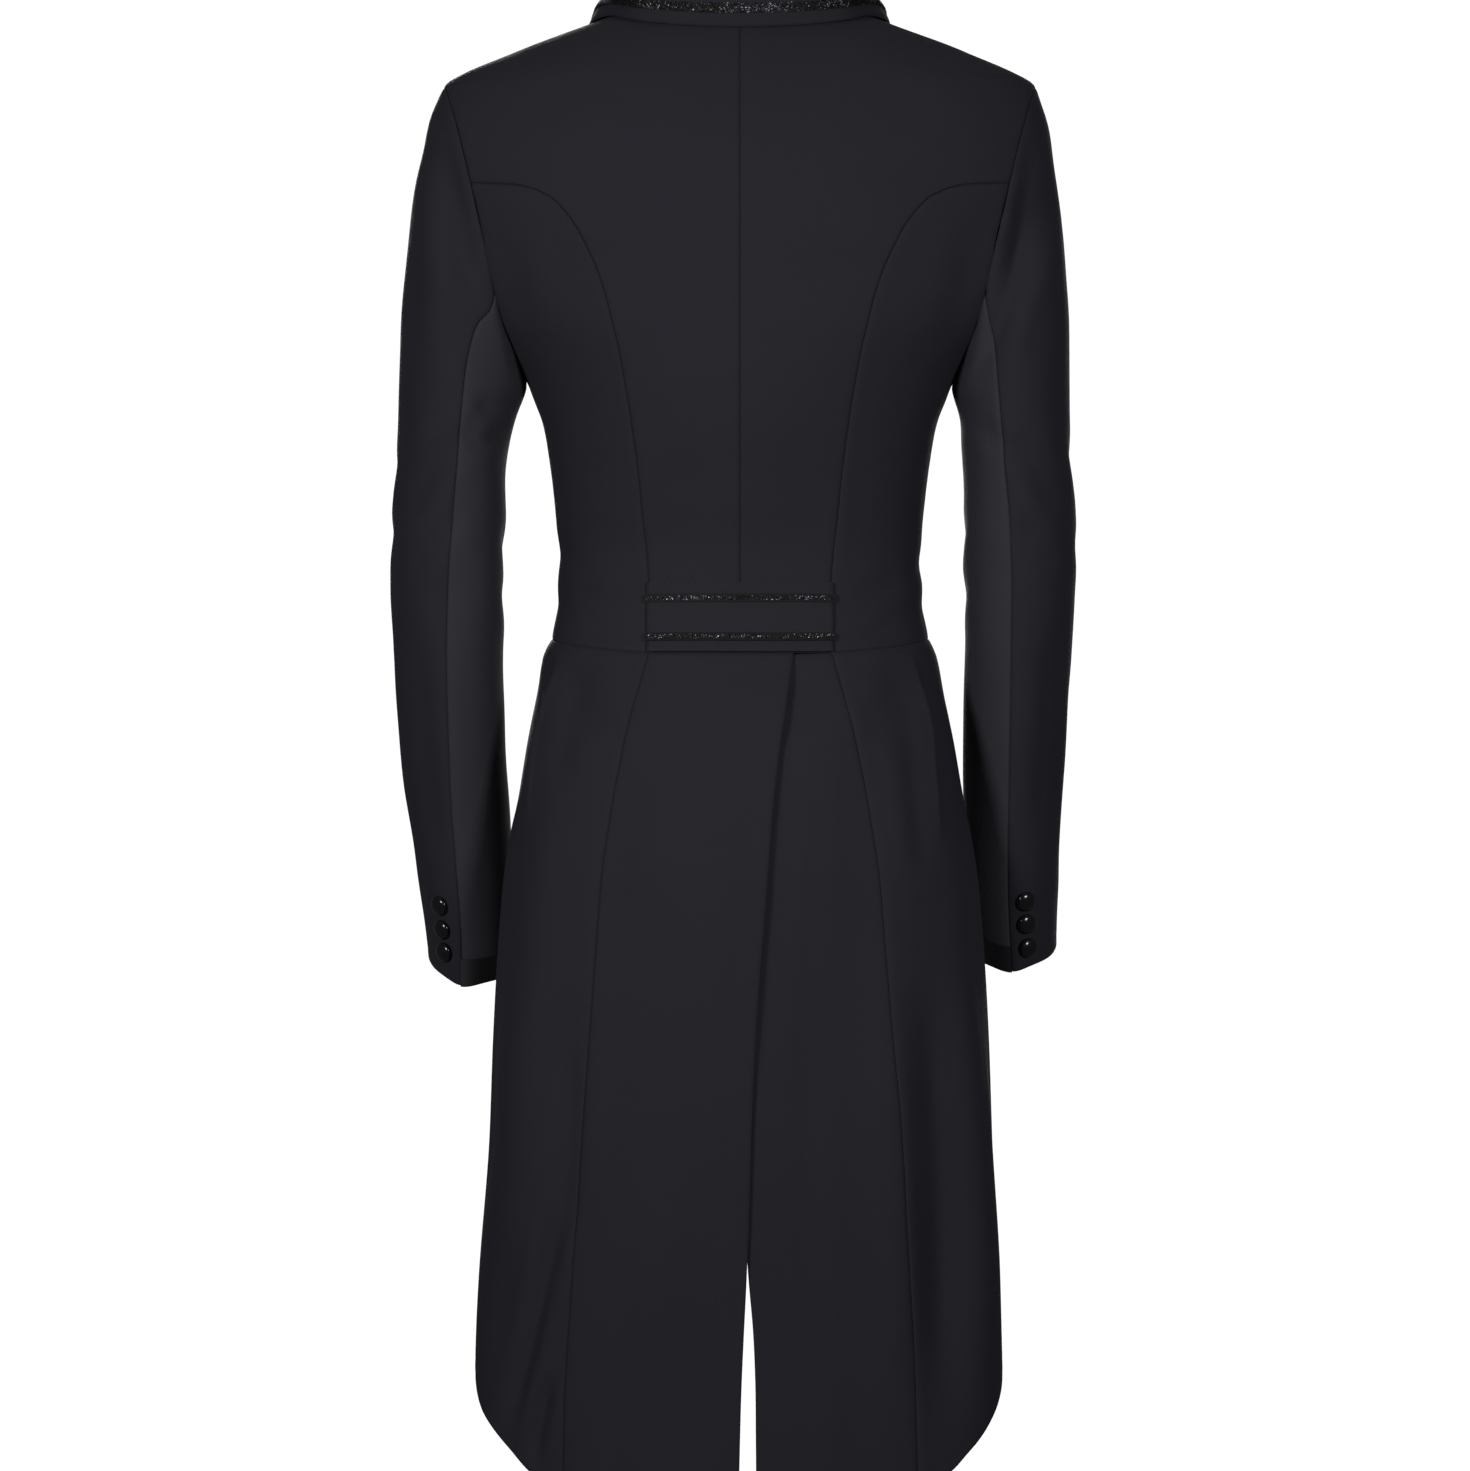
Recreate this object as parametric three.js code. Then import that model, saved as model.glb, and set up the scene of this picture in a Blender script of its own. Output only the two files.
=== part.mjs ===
// Dressage tailcoat, worn shape, hollow. Millimetres, +Z up, the front faces -Y and the wearer's left is +X.
// The origin is the middle of the neck at the height of the nape seam.
// The body is one smooth surface of horizontal sections, and every cloth piece is a wall cut out of it.
import * as THREE from 'three';

// ---- Driving sizes ----
const CLOTH = 2;
const TRIM = 1;
const SEAM_GAP = 0.3;
const LAY_GAP = 0.7;
const LAPEL_GAP = 0.95;
const CUFF_GAP = 0.6;
const NECK_Z = 5;
const SHOULDER_Z = -53;
const UNDERARM_Z = -250;
const WAIST_SIDE_Z = -427;
const WAIST_BACK_Z = -437;
const BELT_TOP_Z = -390;
const BELT_HALF = 62;
const HEM_Z = -1000;
const OVERLAP = 16;
const QUARTER = Math.PI / 2;
const BELT_ROWS = 3;
const NECK_STEPS = 5;
const SHOULDER_STEPS = 7;
const SIDE_STEPS = 6;
const TAIL_ROWS = 16;
const TAIL_STEPS = 7;
const TAIL_FRONT_STEPS = 2;
const LAPEL_STEPS = 4;
const LAPEL_ROWS = 10;

// ---- Horizontal sections of the body: half width, and where the back, side and front lie ----
const BODY = [
  { z: 8, half: 62, back: 54, side: -9, front: -64 },
  { z: 5, half: 68, back: 56, side: -8, front: -65 },
  { z: -10, half: 103, back: 62, side: -6, front: -67 },
  { z: -28, half: 151, back: 71, side: -4, front: -69 },
  { z: SHOULDER_Z, half: 201, back: 82, side: -2, front: -76 },
  { z: -80, half: 211, back: 91, side: 0, front: -87 },
  { z: -100, half: 213, back: 95, side: 1, front: -94 },
  { z: -125, half: 211, back: 98, side: 2, front: -101 },
  { z: -145, half: 206, back: 100, side: 2, front: -106 },
  { z: -170, half: 198, back: 101, side: 2, front: -111 },
  { z: -195, half: 186, back: 101, side: 2, front: -114 },
  { z: -216, half: 172, back: 101, side: 2, front: -115 },
  { z: -231, half: 159, back: 100, side: 2, front: -115 },
  { z: UNDERARM_Z, half: 146, back: 98, side: 2, front: -114 },
  { z: -282, half: 134, back: 92, side: 1, front: -109 },
  { z: -333, half: 126, back: 79, side: -1, front: -97 },
  { z: -374, half: 122.8, back: 70, side: -3, front: -89 },
  { z: -401, half: 124, back: 69, side: -4, front: -88 },
  { z: -424, half: 127, back: 72, side: -4, front: -90 },
  { z: -440, half: 134, back: 77, side: -2, front: -93 },
  { z: -468, half: 140.5, back: 87, side: 2, front: -97 },
  { z: -497, half: 146.5, back: 96, side: 6, front: -99 },
  { z: -544, half: 153.6, back: 105, side: 12, front: -100 },
  { z: -592, half: 160.5, back: 109, side: 16, front: -100 },
  { z: -650, half: 165, back: 109, side: 18, front: -100 },
  { z: -714, half: 169, back: 107, side: 20, front: -100 },
  { z: -775, half: 171.5, back: 105, side: 20, front: -100 },
  { z: -838, half: 175, back: 103, side: 20, front: -100 },
  { z: -900, half: 178, back: 102, side: 20, front: -100 },
  { z: -935, half: 179, back: 102, side: 20, front: -100 },
  { z: -1010, half: 180, back: 102, side: 20, front: -100 },
];

// ---- Seams and edges by distance from the middle towards the piece's own side (x) and by height (z) ----
const BACK_SEAM = [
  { x: 62, z: BELT_TOP_Z }, { x: 64.5, z: -360 }, { x: 68, z: -325 }, { x: 72.5, z: -290 },
  { x: 78, z: -255 }, { x: 84.5, z: -222 }, { x: 92, z: -193 }, { x: 102, z: -167 },
  { x: 113, z: -147 }, { x: 128, z: -131 }, { x: 146, z: -123.5 }, { x: 164, z: -121.5 },
  { x: 182, z: -120.5 },
];
const ARMHOLE = [
  { z: SHOULDER_Z, back: 201, front: 201 },
  { z: -56.5, back: 199.3, front: 199 },
  { z: -70, back: 195.2, front: 193 },
  { z: -93, back: 189, front: 183 },
  { z: -120.5, back: 182, front: 173.5 },
  { z: -145, back: 176.5, front: 167.5 },
  { z: -170, back: 172.5, front: 164 },
  { z: -195, back: 167, front: 160.5 },
  { z: -216, back: 161, front: 156.5 },
  { z: -234, back: 153.2, front: 151.5 },
  { z: UNDERARM_Z, back: 146, front: 146 },
];
const TAIL_SEAM = [
  { x: BELT_HALF, z: WAIST_BACK_Z }, { x: 69, z: -462 }, { x: 84, z: -524 }, { x: 94.5, z: -597 },
  { x: 101, z: -690 }, { x: 107, z: -762 }, { x: 111, z: -830 }, { x: 117, z: -911 }, { x: 120, z: HEM_Z },
];
const OVER_VENT = [
  { x: -36, z: WAIST_BACK_Z }, { x: -32, z: -463 }, { x: -25, z: -512 }, { x: -21, z: -550 },
  { x: -17, z: -605 }, { x: -11.6, z: -673 }, { x: -8, z: -741 }, { x: -6, z: -809 },
  { x: -4.5, z: -853 }, { x: -1, z: -928 }, { x: 1, z: HEM_Z - 6 },
];
const UNDER_VENT = [
  { x: -8, z: WAIST_BACK_Z }, { x: -4, z: -560 }, { x: 0, z: -700 }, { x: 5.4, z: -853 },
  { x: 9, z: -895 }, { x: 11, z: HEM_Z },
];

const WAIST_FRONT = [
  { angle: 90, z: WAIST_SIDE_Z }, { angle: 104, z: -426 }, { angle: 118, z: -427 }, { angle: 140, z: -434 },
  { angle: 165, z: -447 }, { angle: 175, z: -452 }, { angle: 190, z: -450 },
];
const ROLL_LINE = [
  { x: -OVERLAP, z: -292 }, { x: -7, z: -268 }, { x: 1, z: -244 }, { x: 9, z: -220 }, { x: 28, z: -160 },
  { x: 45, z: -105 }, { x: 57, z: -62 }, { x: 60.5, z: -50 }, { x: 64, z: -32 }, { x: 67, z: -12 },
  { x: 68.2, z: -1.5 }, { x: 68.4, z: 3.2 }, { x: 68, z: 5 },
];
const LAPEL_EDGE = [
  { x: -11, z: -289 }, { x: 0, z: -279 }, { x: 11, z: -268 }, { x: 32, z: -240 }, { x: 63, z: -193 },
  { x: 90, z: -142 }, { x: 103, z: -98 },
];
const TAIL_FRONT = [
  { angle: 118, z: -427 }, { angle: 113, z: -460 }, { angle: 106, z: -510 }, { angle: 99, z: -570 },
  { angle: 94, z: -640 }, { angle: 91, z: -720 }, { angle: 90, z: -800 }, { angle: 89, z: -870 },
  { angle: 87, z: -920 },
];
const TAIL_CORNER = [
  { x: 178.5, z: -920 }, { x: 176.5, z: -940 }, { x: 169, z: -957 }, { x: 153, z: -977 }, { x: 137, z: -993 },
  { x: 120, z: HEM_Z },
];

// ---- Collar stations from the middle of the back to the notch: stand height, and the edge of the fall ----
const COLLAR = [
  { rise: 28, edgeX: 0, edgeZ: -17.5, side: 'back' },
  { rise: 28, edgeX: 25, edgeZ: -17, side: 'back' },
  { rise: 28, edgeX: 49, edgeZ: -15, side: 'back' },
  { rise: 28, edgeX: 71, edgeZ: -12, side: 'back' },
  { rise: 27, edgeX: 88, edgeZ: -7.5, side: 'back' },
  { rise: 26, edgeX: 99, edgeZ: -8.5, side: 'back' },
  { rise: 24, edgeX: 103, edgeZ: -12.5, side: 'front' },
  { rise: 20, edgeX: 107, edgeZ: -22, side: 'front' },
  { rise: 14, edgeX: 109, edgeZ: -36, side: 'front' },
  { rise: 9, edgeX: 106, edgeZ: -54, side: 'front' },
  { rise: 6, edgeX: 97, edgeZ: -69, side: 'front' },
];
const COLLAR_FOLD = 3.3;
const COLLAR_BULGE = 5;
const COLLAR_LEAN = 2;
const COLLAR_AXIS = { x: 0, y: -5 };
const COLLAR_FOOT = { back: 0.5, front: 1.4 };
const FULL_STAND = 26;
const FRONT_STAND = 6;
const NECK_ROLL_Z = -55;
const FALL_STEPS = [0.3, 0.5, 0.62, 0.77, 1];

// ---- Sleeve rings below the armhole: outer edge, inner edge and hind-arm seam seen from behind,
// the middle and half of the depth, and how far the back of the ring dips ----
const LEFT_SLEEVE = [
  { outX: 211, outZ: -75, inX: 149, inZ: -268, seamX: 168.6, midY: -4, half: 57, dip: 0 },
  { outX: 217, outZ: -100, inX: 152, inZ: -279, seamX: 175.5, midY: -4, half: 57, dip: 0 },
  { outX: 223.5, outZ: -142, inX: 156, inZ: -294, seamX: 182.5, midY: -4, half: 57, dip: 0 },
  { outX: 228.5, outZ: -190, inX: 158.5, inZ: -312, seamX: 187, midY: -3, half: 56, dip: 1 },
  { outX: 231, outZ: -245, inX: 160, inZ: -340, seamX: 190.2, midY: -3, half: 53.5, dip: 2 },
  { outX: 233.5, outZ: -300, inX: 160.5, inZ: -370, seamX: 193.7, midY: -4, half: 51, dip: 5 },
  { outX: 237, outZ: -352, inX: 161, inZ: -400, seamX: 197, midY: -7, half: 49, dip: 8 },
  { outX: 237.3, outZ: -392, inX: 161, inZ: -427, seamX: 198.3, midY: -13, half: 48, dip: 11 },
  { outX: 236.5, outZ: -435, inX: 161, inZ: -457, seamX: 198.4, midY: -22, half: 47, dip: 13 },
  { outX: 234, outZ: -480, inX: 160.5, inZ: -493, seamX: 197.5, midY: -32, half: 46, dip: 13 },
  { outX: 229.5, outZ: -528, inX: 158, inZ: -535, seamX: 196, midY: -44, half: 45, dip: 13 },
  { outX: 222.5, outZ: -575, inX: 156, inZ: -577, seamX: 193, midY: -55, half: 44, dip: 13 },
  { outX: 217.5, outZ: -612, inX: 155, inZ: -614, seamX: 190.3, midY: -64, half: 43, dip: 13 },
  { outX: 214, outZ: -644, inX: 154, inZ: -648, seamX: 190, midY: -72, half: 43, dip: 15 },
];
const RIGHT_SLEEVE = [
  { outX: 209.5, outZ: -79, inX: 147.5, inZ: -268, seamX: 166.8, midY: -4, half: 57, dip: 0 },
  { outX: 214, outZ: -108, inX: 149.3, inZ: -279, seamX: 169.5, midY: -4, half: 57, dip: 0 },
  { outX: 218.5, outZ: -147, inX: 150.5, inZ: -295, seamX: 173, midY: -4, half: 57, dip: 0 },
  { outX: 222.5, outZ: -193, inX: 151.5, inZ: -314, seamX: 175.5, midY: -3, half: 56, dip: 1 },
  { outX: 223.7, outZ: -247, inX: 152, inZ: -341, seamX: 178.2, midY: -3, half: 53.5, dip: 2 },
  { outX: 225, outZ: -302, inX: 152.5, inZ: -370, seamX: 182, midY: -4, half: 51, dip: 5 },
  { outX: 228.5, outZ: -350, inX: 153, inZ: -398, seamX: 183.5, midY: -7, half: 49, dip: 8 },
  { outX: 228.7, outZ: -388, inX: 153, inZ: -424, seamX: 183.5, midY: -13, half: 48, dip: 11 },
  { outX: 226.5, outZ: -432, inX: 153, inZ: -454, seamX: 183.4, midY: -22, half: 47, dip: 13 },
  { outX: 224, outZ: -478, inX: 153, inZ: -490, seamX: 183, midY: -32, half: 46, dip: 13 },
  { outX: 221.5, outZ: -524, inX: 153, inZ: -531, seamX: 182.5, midY: -44, half: 45, dip: 13 },
  { outX: 219, outZ: -568, inX: 154, inZ: -571, seamX: 182, midY: -55, half: 44, dip: 13 },
  { outX: 218, outZ: -604, inX: 155, inZ: -606, seamX: 183, midY: -64, half: 43, dip: 13 },
  { outX: 217.5, outZ: -637, inX: 156, inZ: -638, seamX: 185.5, midY: -72, half: 43, dip: 13 },
];

// ---- Trim: rows and steps are counted along the grid of the piece that carries it ----
const CUFF_BAND = 0.46;
const CUFF_BUTTON = { radius: 6.8, height: 4.5, seat: 0.4 };
const CUFF_BUTTONS = {
  left: [{ ring: 12.6, step: 1.8 }, { ring: 13.05, step: 1.8 }, { ring: 13.5, step: 1.7 }],
  right: [{ ring: 12.68, step: 1.5 }, { ring: 13.12, step: 1.5 }, { ring: 13.6, step: 1.5 }],
};
const FRONT_BUTTON = { radius: 10, height: 5.5, seat: 0.75 };
const FRONT_BUTTONS = [3, 7.5, 12];
const FRONT_BUTTON_INSET = 0.75;
const BUTTON_SHAPE = { rim: 0.35, foot: 0.86, domeSteps: 4, sides: 14 };
const COLLAR_PIPING = [9, 10];
const BELT_STRIPS = [{ name: 'lower', low: 0.145, high: 0.265 }, { name: 'upper', low: 0.717, high: 0.837 }];

// ---- Cloth and trim ----
const CLOTH_COLOUR = 0x26262b;
const UNDER_SLEEVE_COLOUR = 0x2c2c31;
const material = (color, roughness, metalness = 0) =>
  new THREE.MeshStandardMaterial({ color, roughness, metalness });
const FINISH = {
  cloth: () => material(CLOTH_COLOUR, 0.9),
  underSleeve: () => material(UNDER_SLEEVE_COLOUR, 0.88),
  satin: () => material(0x141417, 0.45),
  glitter: () => material(0x3a3b40, 0.35, 0.4),
  button: () => material(0x0e0e10, 0.22),
};

// ---- A smooth curve through one column of a table, which never overshoots its rows ----
function column(rows, name, by = 'z') {
  const sorted = [...rows].sort((a, b) => a[by] - b[by]);
  const x = sorted.map((row) => row[by]);
  const y = sorted.map((row) => row[name]);
  const slope = x.slice(1).map((next, i) => (y[i + 1] - y[i]) / (next - x[i]));
  const tangent = y.map((_, i) => {
    if (i === 0 || i === y.length - 1) return slope[Math.min(i, slope.length - 1)];
    const product = slope[i - 1] * slope[i];
    return product <= 0 ? 0 : (2 * product) / (slope[i - 1] + slope[i]);
  });
  return (at) => {
    const t = Math.min(Math.max(at, x[0]), x[x.length - 1]);
    let i = 0;
    while (i < x.length - 2 && t > x[i + 1]) i += 1;
    const width = x[i + 1] - x[i];
    const s = (t - x[i]) / width;
    const start = (1 + 2 * s) * (1 - s) ** 2 * y[i] + s * (1 - s) ** 2 * width * tangent[i];
    const end = s * s * (3 - 2 * s) * y[i + 1] - s * s * (1 - s) * width * tangent[i + 1];
    return start + end;
  };
}
const half = column(BODY, 'half');
const backY = column(BODY, 'back');
const sideY = column(BODY, 'side');
const frontY = column(BODY, 'front');

// ---- The body surface: angle 0 is the middle of the back, a quarter turn is the wearer's left side ----
function onBody(angle, z) {
  const depth = Math.cos(angle) > 0 ? backY(z) - sideY(z) : sideY(z) - frontY(z);
  return new THREE.Vector3(half(z) * Math.sin(angle), sideY(z) + depth * Math.cos(angle), z);
}
function angleOf(point) {
  const away = point.y - sideY(point.z);
  const depth = away > 0 ? backY(point.z) - sideY(point.z) : sideY(point.z) - frontY(point.z);
  const angle = Math.atan2(point.x / half(point.z), away / depth);
  return angle < -QUARTER ? angle + 4 * QUARTER : angle;
}
function normalAt(angle, z) {
  const step = 0.01;
  const across = onBody(angle + step, z).sub(onBody(angle - step, z));
  const up = onBody(angle, z + 1).sub(onBody(angle, z - 1));
  return up.cross(across).normalize();
}
const onto = (point) => onBody(angleOf(point), point.z);
const back = ({ x, z }) => onBody(Math.asin(Math.min(1, Math.max(-1, x / half(z)))), z);
const front = ({ x, z }) => onBody(2 * QUARTER - Math.asin(Math.min(1, Math.max(-1, x / half(z)))), z);
const sideAt = (z) => onBody(QUARTER, z);
const range = (count, make) => Array.from({ length: count + 1 }, (_, i) => make(i / count));
const mix = THREE.MathUtils.lerp;
const ease = (t) => THREE.MathUtils.smoothstep(t, 0, 1);

// ---- An even run of points along a smooth curve, laid back onto the body ----
function along(points, count) {
  const curve = new THREE.CatmullRomCurve3(points, false, 'centripetal');
  return curve.getSpacedPoints(count).map(onto);
}

// ---- A four-sided grid on the body; each edge is a list of points, left and right run upward ----
function panel({ left, right, bottom, top }) {
  const rows = left.length - 1;
  const columns = bottom.length - 1;
  return left.map((_, j) => bottom.map((__, i) => {
    if (j === 0) return bottom[i].clone();
    if (j === rows) return top[i].clone();
    if (i === 0) return left[j].clone();
    if (i === columns) return right[j].clone();
    const u = i / columns;
    const v = j / rows;
    const ruled = left[j].clone().lerp(right[j], u).add(bottom[i].clone().lerp(top[i], v));
    const low = bottom[0].clone().lerp(bottom[columns], u);
    const high = top[0].clone().lerp(top[columns], u);
    return onto(ruled.sub(low.lerp(high, v)));
  }));
}
const dress = (grid, lift = () => 0) => grid.map((row) => row.map((point) => {
  const normal = normalAt(angleOf(point), point.z);
  return { point: point.clone().addScaledVector(normal, lift(point)), normal };
}));

// ---- Normals worked out from the grid itself, for collars and sleeves ----
function gridNormals(points, wraps, outward) {
  const rows = points.length;
  const columns = points[0].length;
  return points.map((row, j) => row.map((point, i) => {
    const before = wraps ? row[(i + columns - 1) % columns] : row[Math.max(i - 1, 0)];
    const after = wraps ? row[(i + 1) % columns] : row[Math.min(i + 1, columns - 1)];
    const down = points[Math.max(j - 1, 0)][i];
    const up = points[Math.min(j + 1, rows - 1)][i];
    const normal = after.clone().sub(before).cross(up.clone().sub(down)).normalize();
    return { point: point.clone(), normal: normal.multiplyScalar(outward) };
  }));
}

// ---- Each edge is drawn in by half the seam gap, so that neighbours stay clear ----
function drawIn(cells) {
  const rows = cells.length - 1;
  const columns = cells[0].length - 1;
  const inward = (j, i, dj, di) => {
    const toward = cells[j + dj][i + di].point.clone().sub(cells[j][i].point);
    const before = cells[Math.max(j - Math.abs(di), 0)][Math.max(i - Math.abs(dj), 0)].point;
    const after = cells[Math.min(j + Math.abs(di), rows)][Math.min(i + Math.abs(dj), columns)].point;
    const edge = after.clone().sub(before).normalize();
    toward.addScaledVector(edge, -toward.dot(edge));
    return toward.normalize().multiplyScalar(SEAM_GAP / 2);
  };
  return cells.map((row, j) => row.map(({ point, normal }, i) => {
    const moved = point.clone();
    if (i === 0) moved.add(inward(j, i, 0, 1));
    if (i === columns) moved.add(inward(j, i, 0, -1));
    if (j === 0) moved.add(inward(j, i, 1, 0));
    if (j === rows) moved.add(inward(j, i, -1, 0));
    return { point: moved, normal };
  }));
}

// ---- A closed wall: the grid is its outer face, and the inner face lies its thickness inside ----
function wall(cells, thickness) {
  const rows = cells.length;
  const columns = cells[0].length;
  const outer = cells.flat().map(({ point }) => point);
  const inner = cells.flat().map(({ point, normal }) => point.clone().addScaledVector(normal, -thickness));
  const shift = rows * columns;
  const at = (j, i) => j * columns + i;
  const faces = [];
  const quad = (a, b, c, d) => faces.push(a, b, c, a, c, d);
  for (let j = 0; j < rows - 1; j += 1) {
    for (let i = 0; i < columns - 1; i += 1) {
      quad(at(j, i), at(j, i + 1), at(j + 1, i + 1), at(j + 1, i));
      faces.push(at(j, i) + shift, at(j + 1, i + 1) + shift, at(j, i + 1) + shift);
      faces.push(at(j, i) + shift, at(j + 1, i) + shift, at(j + 1, i + 1) + shift);
    }
  }
  const rim = (a, b) => quad(a, a + shift, b + shift, b);
  for (let i = 0; i < columns - 1; i += 1) {
    rim(at(0, i), at(0, i + 1));
    rim(at(rows - 1, i + 1), at(rows - 1, i));
  }
  for (let j = 0; j < rows - 1; j += 1) {
    rim(at(j, columns - 1), at(j + 1, columns - 1));
    rim(at(j + 1, 0), at(j, 0));
  }
  return solid([...outer, ...inner], faces);
}
function solid(points, faces) {
  const volume = faces.reduce((sum, _, k) => {
    if (k % 3) return sum;
    const [a, b, c] = faces.slice(k, k + 3).map((index) => points[index]);
    return sum + a.dot(b.clone().cross(c));
  }, 0);
  const ordered = volume > 0 ? faces : faces.slice().reverse();
  const geometry = new THREE.BufferGeometry().setFromPoints(points);
  geometry.setIndex(ordered);
  geometry.computeVertexNormals();
  return geometry;
}

// ---- Every piece is drawn for the left half and mirrored for the right ----
const tailcoat = new THREE.Group();
tailcoat.name = 'tailcoat';
function add(name, geometry, finish) {
  const mesh = new THREE.Mesh(geometry, finish());
  mesh.name = name;
  tailcoat.add(mesh);
}
const flip = (vector, side) => new THREE.Vector3(vector.x * side, vector.y, vector.z);
const mirror = (cells, side) => cells.map((row) => row.map(({ point, normal }) => (
  { point: flip(point, side), normal: flip(normal, side) })));
const SIDES = [
  { name: 'left', side: 1, sleeve: LEFT_SLEEVE },
  { name: 'right', side: -1, sleeve: RIGHT_SLEEVE },
];

// ---- Seams that neighbours share ----
const beltSide = range(BELT_ROWS, (t) => back({ x: BELT_HALF, z: mix(WAIST_BACK_Z, BELT_TOP_Z, t) }));
const backSeam = [...beltSide, ...BACK_SEAM.slice(1).map(back)];
const sideSeam = range(backSeam.length - 1, (t) => sideAt(mix(WAIST_SIDE_Z, UNDERARM_Z, t)));
const armholeBack = ARMHOLE.map(({ z, back: x }) => back({ x, z }));
const armholeFront = ARMHOLE.map(({ z, front: x }) => front({ x, z }));
const junction = ARMHOLE.findIndex(({ z }) => z === BACK_SEAM[BACK_SEAM.length - 1].z);
const neckEdge = range(NECK_STEPS, (t) => onBody(t * QUARTER, NECK_Z * t * t));
const shoulder = range(SHOULDER_STEPS, (t) => sideAt(mix(NECK_Z, SHOULDER_Z, t)));
const waistSide = range(SIDE_STEPS, (t) => {
  const start = angleOf(back({ x: BELT_HALF, z: WAIST_BACK_Z }));
  return onBody(mix(start, QUARTER, t), mix(WAIST_BACK_Z, WAIST_SIDE_Z, t));
});
const frontWaistZ = column(WAIST_FRONT, 'z', 'angle');
const degrees = (angle) => (angle * 90) / QUARTER;
const radians = (angle) => (angle * QUARTER) / 90;
const frontWaist = (angle) => onBody(angle, frontWaistZ(degrees(angle)));
const rollLine = ROLL_LINE.map(front);

// ---- Body panels ----
function backCentre() {
  const steps = NECK_STEPS + SHOULDER_STEPS;
  const across = (z) => range(steps, (t) => back({ x: BELT_HALF * t, z }));
  const belt = range(BELT_ROWS, (t) => across(mix(WAIST_BACK_Z, BELT_TOP_Z, t)));
  const right = [...backSeam.slice(BELT_ROWS), ...armholeBack.slice(0, junction).reverse()];
  const left = range(right.length - 1, (t) => back({ x: 0, z: mix(BELT_TOP_Z, 0, t) }));
  const top = [...neckEdge, ...shoulder.slice(1)];
  return [...belt, ...panel({ left, right, bottom: across(BELT_TOP_Z), top }).slice(1)];
}
function sideBack() {
  const top = armholeBack.slice(junction);
  return panel({ left: backSeam, right: sideSeam, bottom: waistSide, top });
}
const overlapLift = (side) => ({ x }) => (
  side > 0 ? 0 : (CLOTH + LAY_GAP) * ease((76 - x) / 54));
function frontPanel() {
  const left = [...sideSeam, ...armholeFront.slice(0, -1).reverse()];
  const edgeRows = left.length - rollLine.length;
  const edgeAngle = angleOf(rollLine[0]);
  const waistAngle = angleOf(front({ x: -OVERLAP, z: frontWaistZ(degrees(edgeAngle)) }));
  const edge = range(edgeRows, (t) => (
    front({ x: -OVERLAP, z: mix(frontWaistZ(degrees(waistAngle)), ROLL_LINE[0].z, t) })));
  const top = [...shoulder].reverse();
  const bottom = range(SHOULDER_STEPS, (t) => frontWaist(mix(QUARTER, waistAngle, t)));
  bottom[SHOULDER_STEPS] = edge[0].clone();
  return panel({ left, right: [...edge, ...rollLine.slice(1)], bottom, top });
}
// The lapel of the front that lies beneath starts higher, beside the other front's edge.
function lapel(side) {
  const start = side > 0 ? 2 : 0;
  const left = along(rollLine.slice(start, LAPEL_EDGE.length), LAPEL_ROWS);
  const right = along(LAPEL_EDGE.slice(start).map(front), LAPEL_ROWS);
  const last = left.length - 1;
  const bottom = range(LAPEL_STEPS, (t) => onto(left[0].clone().lerp(right[0], t)));
  const top = range(LAPEL_STEPS, (t) => onto(left[last].clone().lerp(right[last], t)));
  return panel({ left, right, bottom, top });
}

// ---- Tails: the left laps over the right, which lies one cloth deeper near the vent ----
const tailSeam = along(TAIL_SEAM.map(back), TAIL_ROWS).reverse();
function tailBack(vent) {
  const edge = along(vent.map(back), TAIL_ROWS).reverse();
  const start = angleOf(edge[TAIL_ROWS]);
  const end = angleOf(tailSeam[TAIL_ROWS]);
  const top = range(TAIL_STEPS, (t) => onBody(mix(start, end, t), WAIST_BACK_Z));
  const bottom = range(TAIL_STEPS, (t) => onto(edge[0].clone().lerp(tailSeam[0], t)));
  return panel({ left: edge, right: tailSeam, bottom, top });
}
function tailSide() {
  const edge = along(TAIL_FRONT.map(({ angle, z }) => onBody(radians(angle), z)), TAIL_ROWS).reverse();
  const end = radians(TAIL_FRONT[0].angle);
  const top = [
    ...waistSide,
    ...range(TAIL_FRONT_STEPS, (t) => frontWaist(mix(QUARTER, end, t))).slice(1),
  ];
  const bottom = along(TAIL_CORNER.map(back), top.length - 1).reverse();
  bottom[0] = tailSeam[0].clone();
  bottom[top.length - 1] = edge[0].clone();
  return panel({ left: tailSeam, right: edge, bottom, top });
}
const underLift = (side) => ({ x }) => (
  side > 0 ? 0 : -(CLOTH + LAY_GAP) * ease((66 - x) / 24));

// ---- Sleeves: closed rings from the armhole to the cuff, split along the hind-arm and fore-arm seams ----
const LOOP = [
  ...armholeBack.slice(0, -1).map((point) => ({ point })),
  ...[...armholeFront].reverse().slice(0, -1).map((point) => ({ point })),
];
const LOOP_ROWS = ARMHOLE.length - 1;
const HIND_START = ARMHOLE.findIndex(({ z }) => z === -195);
const FORE_START = 2 * LOOP_ROWS - HIND_START;
const FORE_ANGLE = radians(235);
const ARMHOLE_EASE = 0.6;
const LOOP_MIDDLE = (SHOULDER_Z + UNDERARM_Z) / 2;
const LOOP_HALF = (SHOULDER_Z - UNDERARM_Z) / 2;
const loopAngle = LOOP.map(({ point }, k) => {
  const angle = Math.acos(Math.min(1, Math.max(-1, (point.z - LOOP_MIDDLE) / LOOP_HALF)));
  return k <= LOOP_ROWS ? angle : 4 * QUARTER - angle;
});
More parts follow.
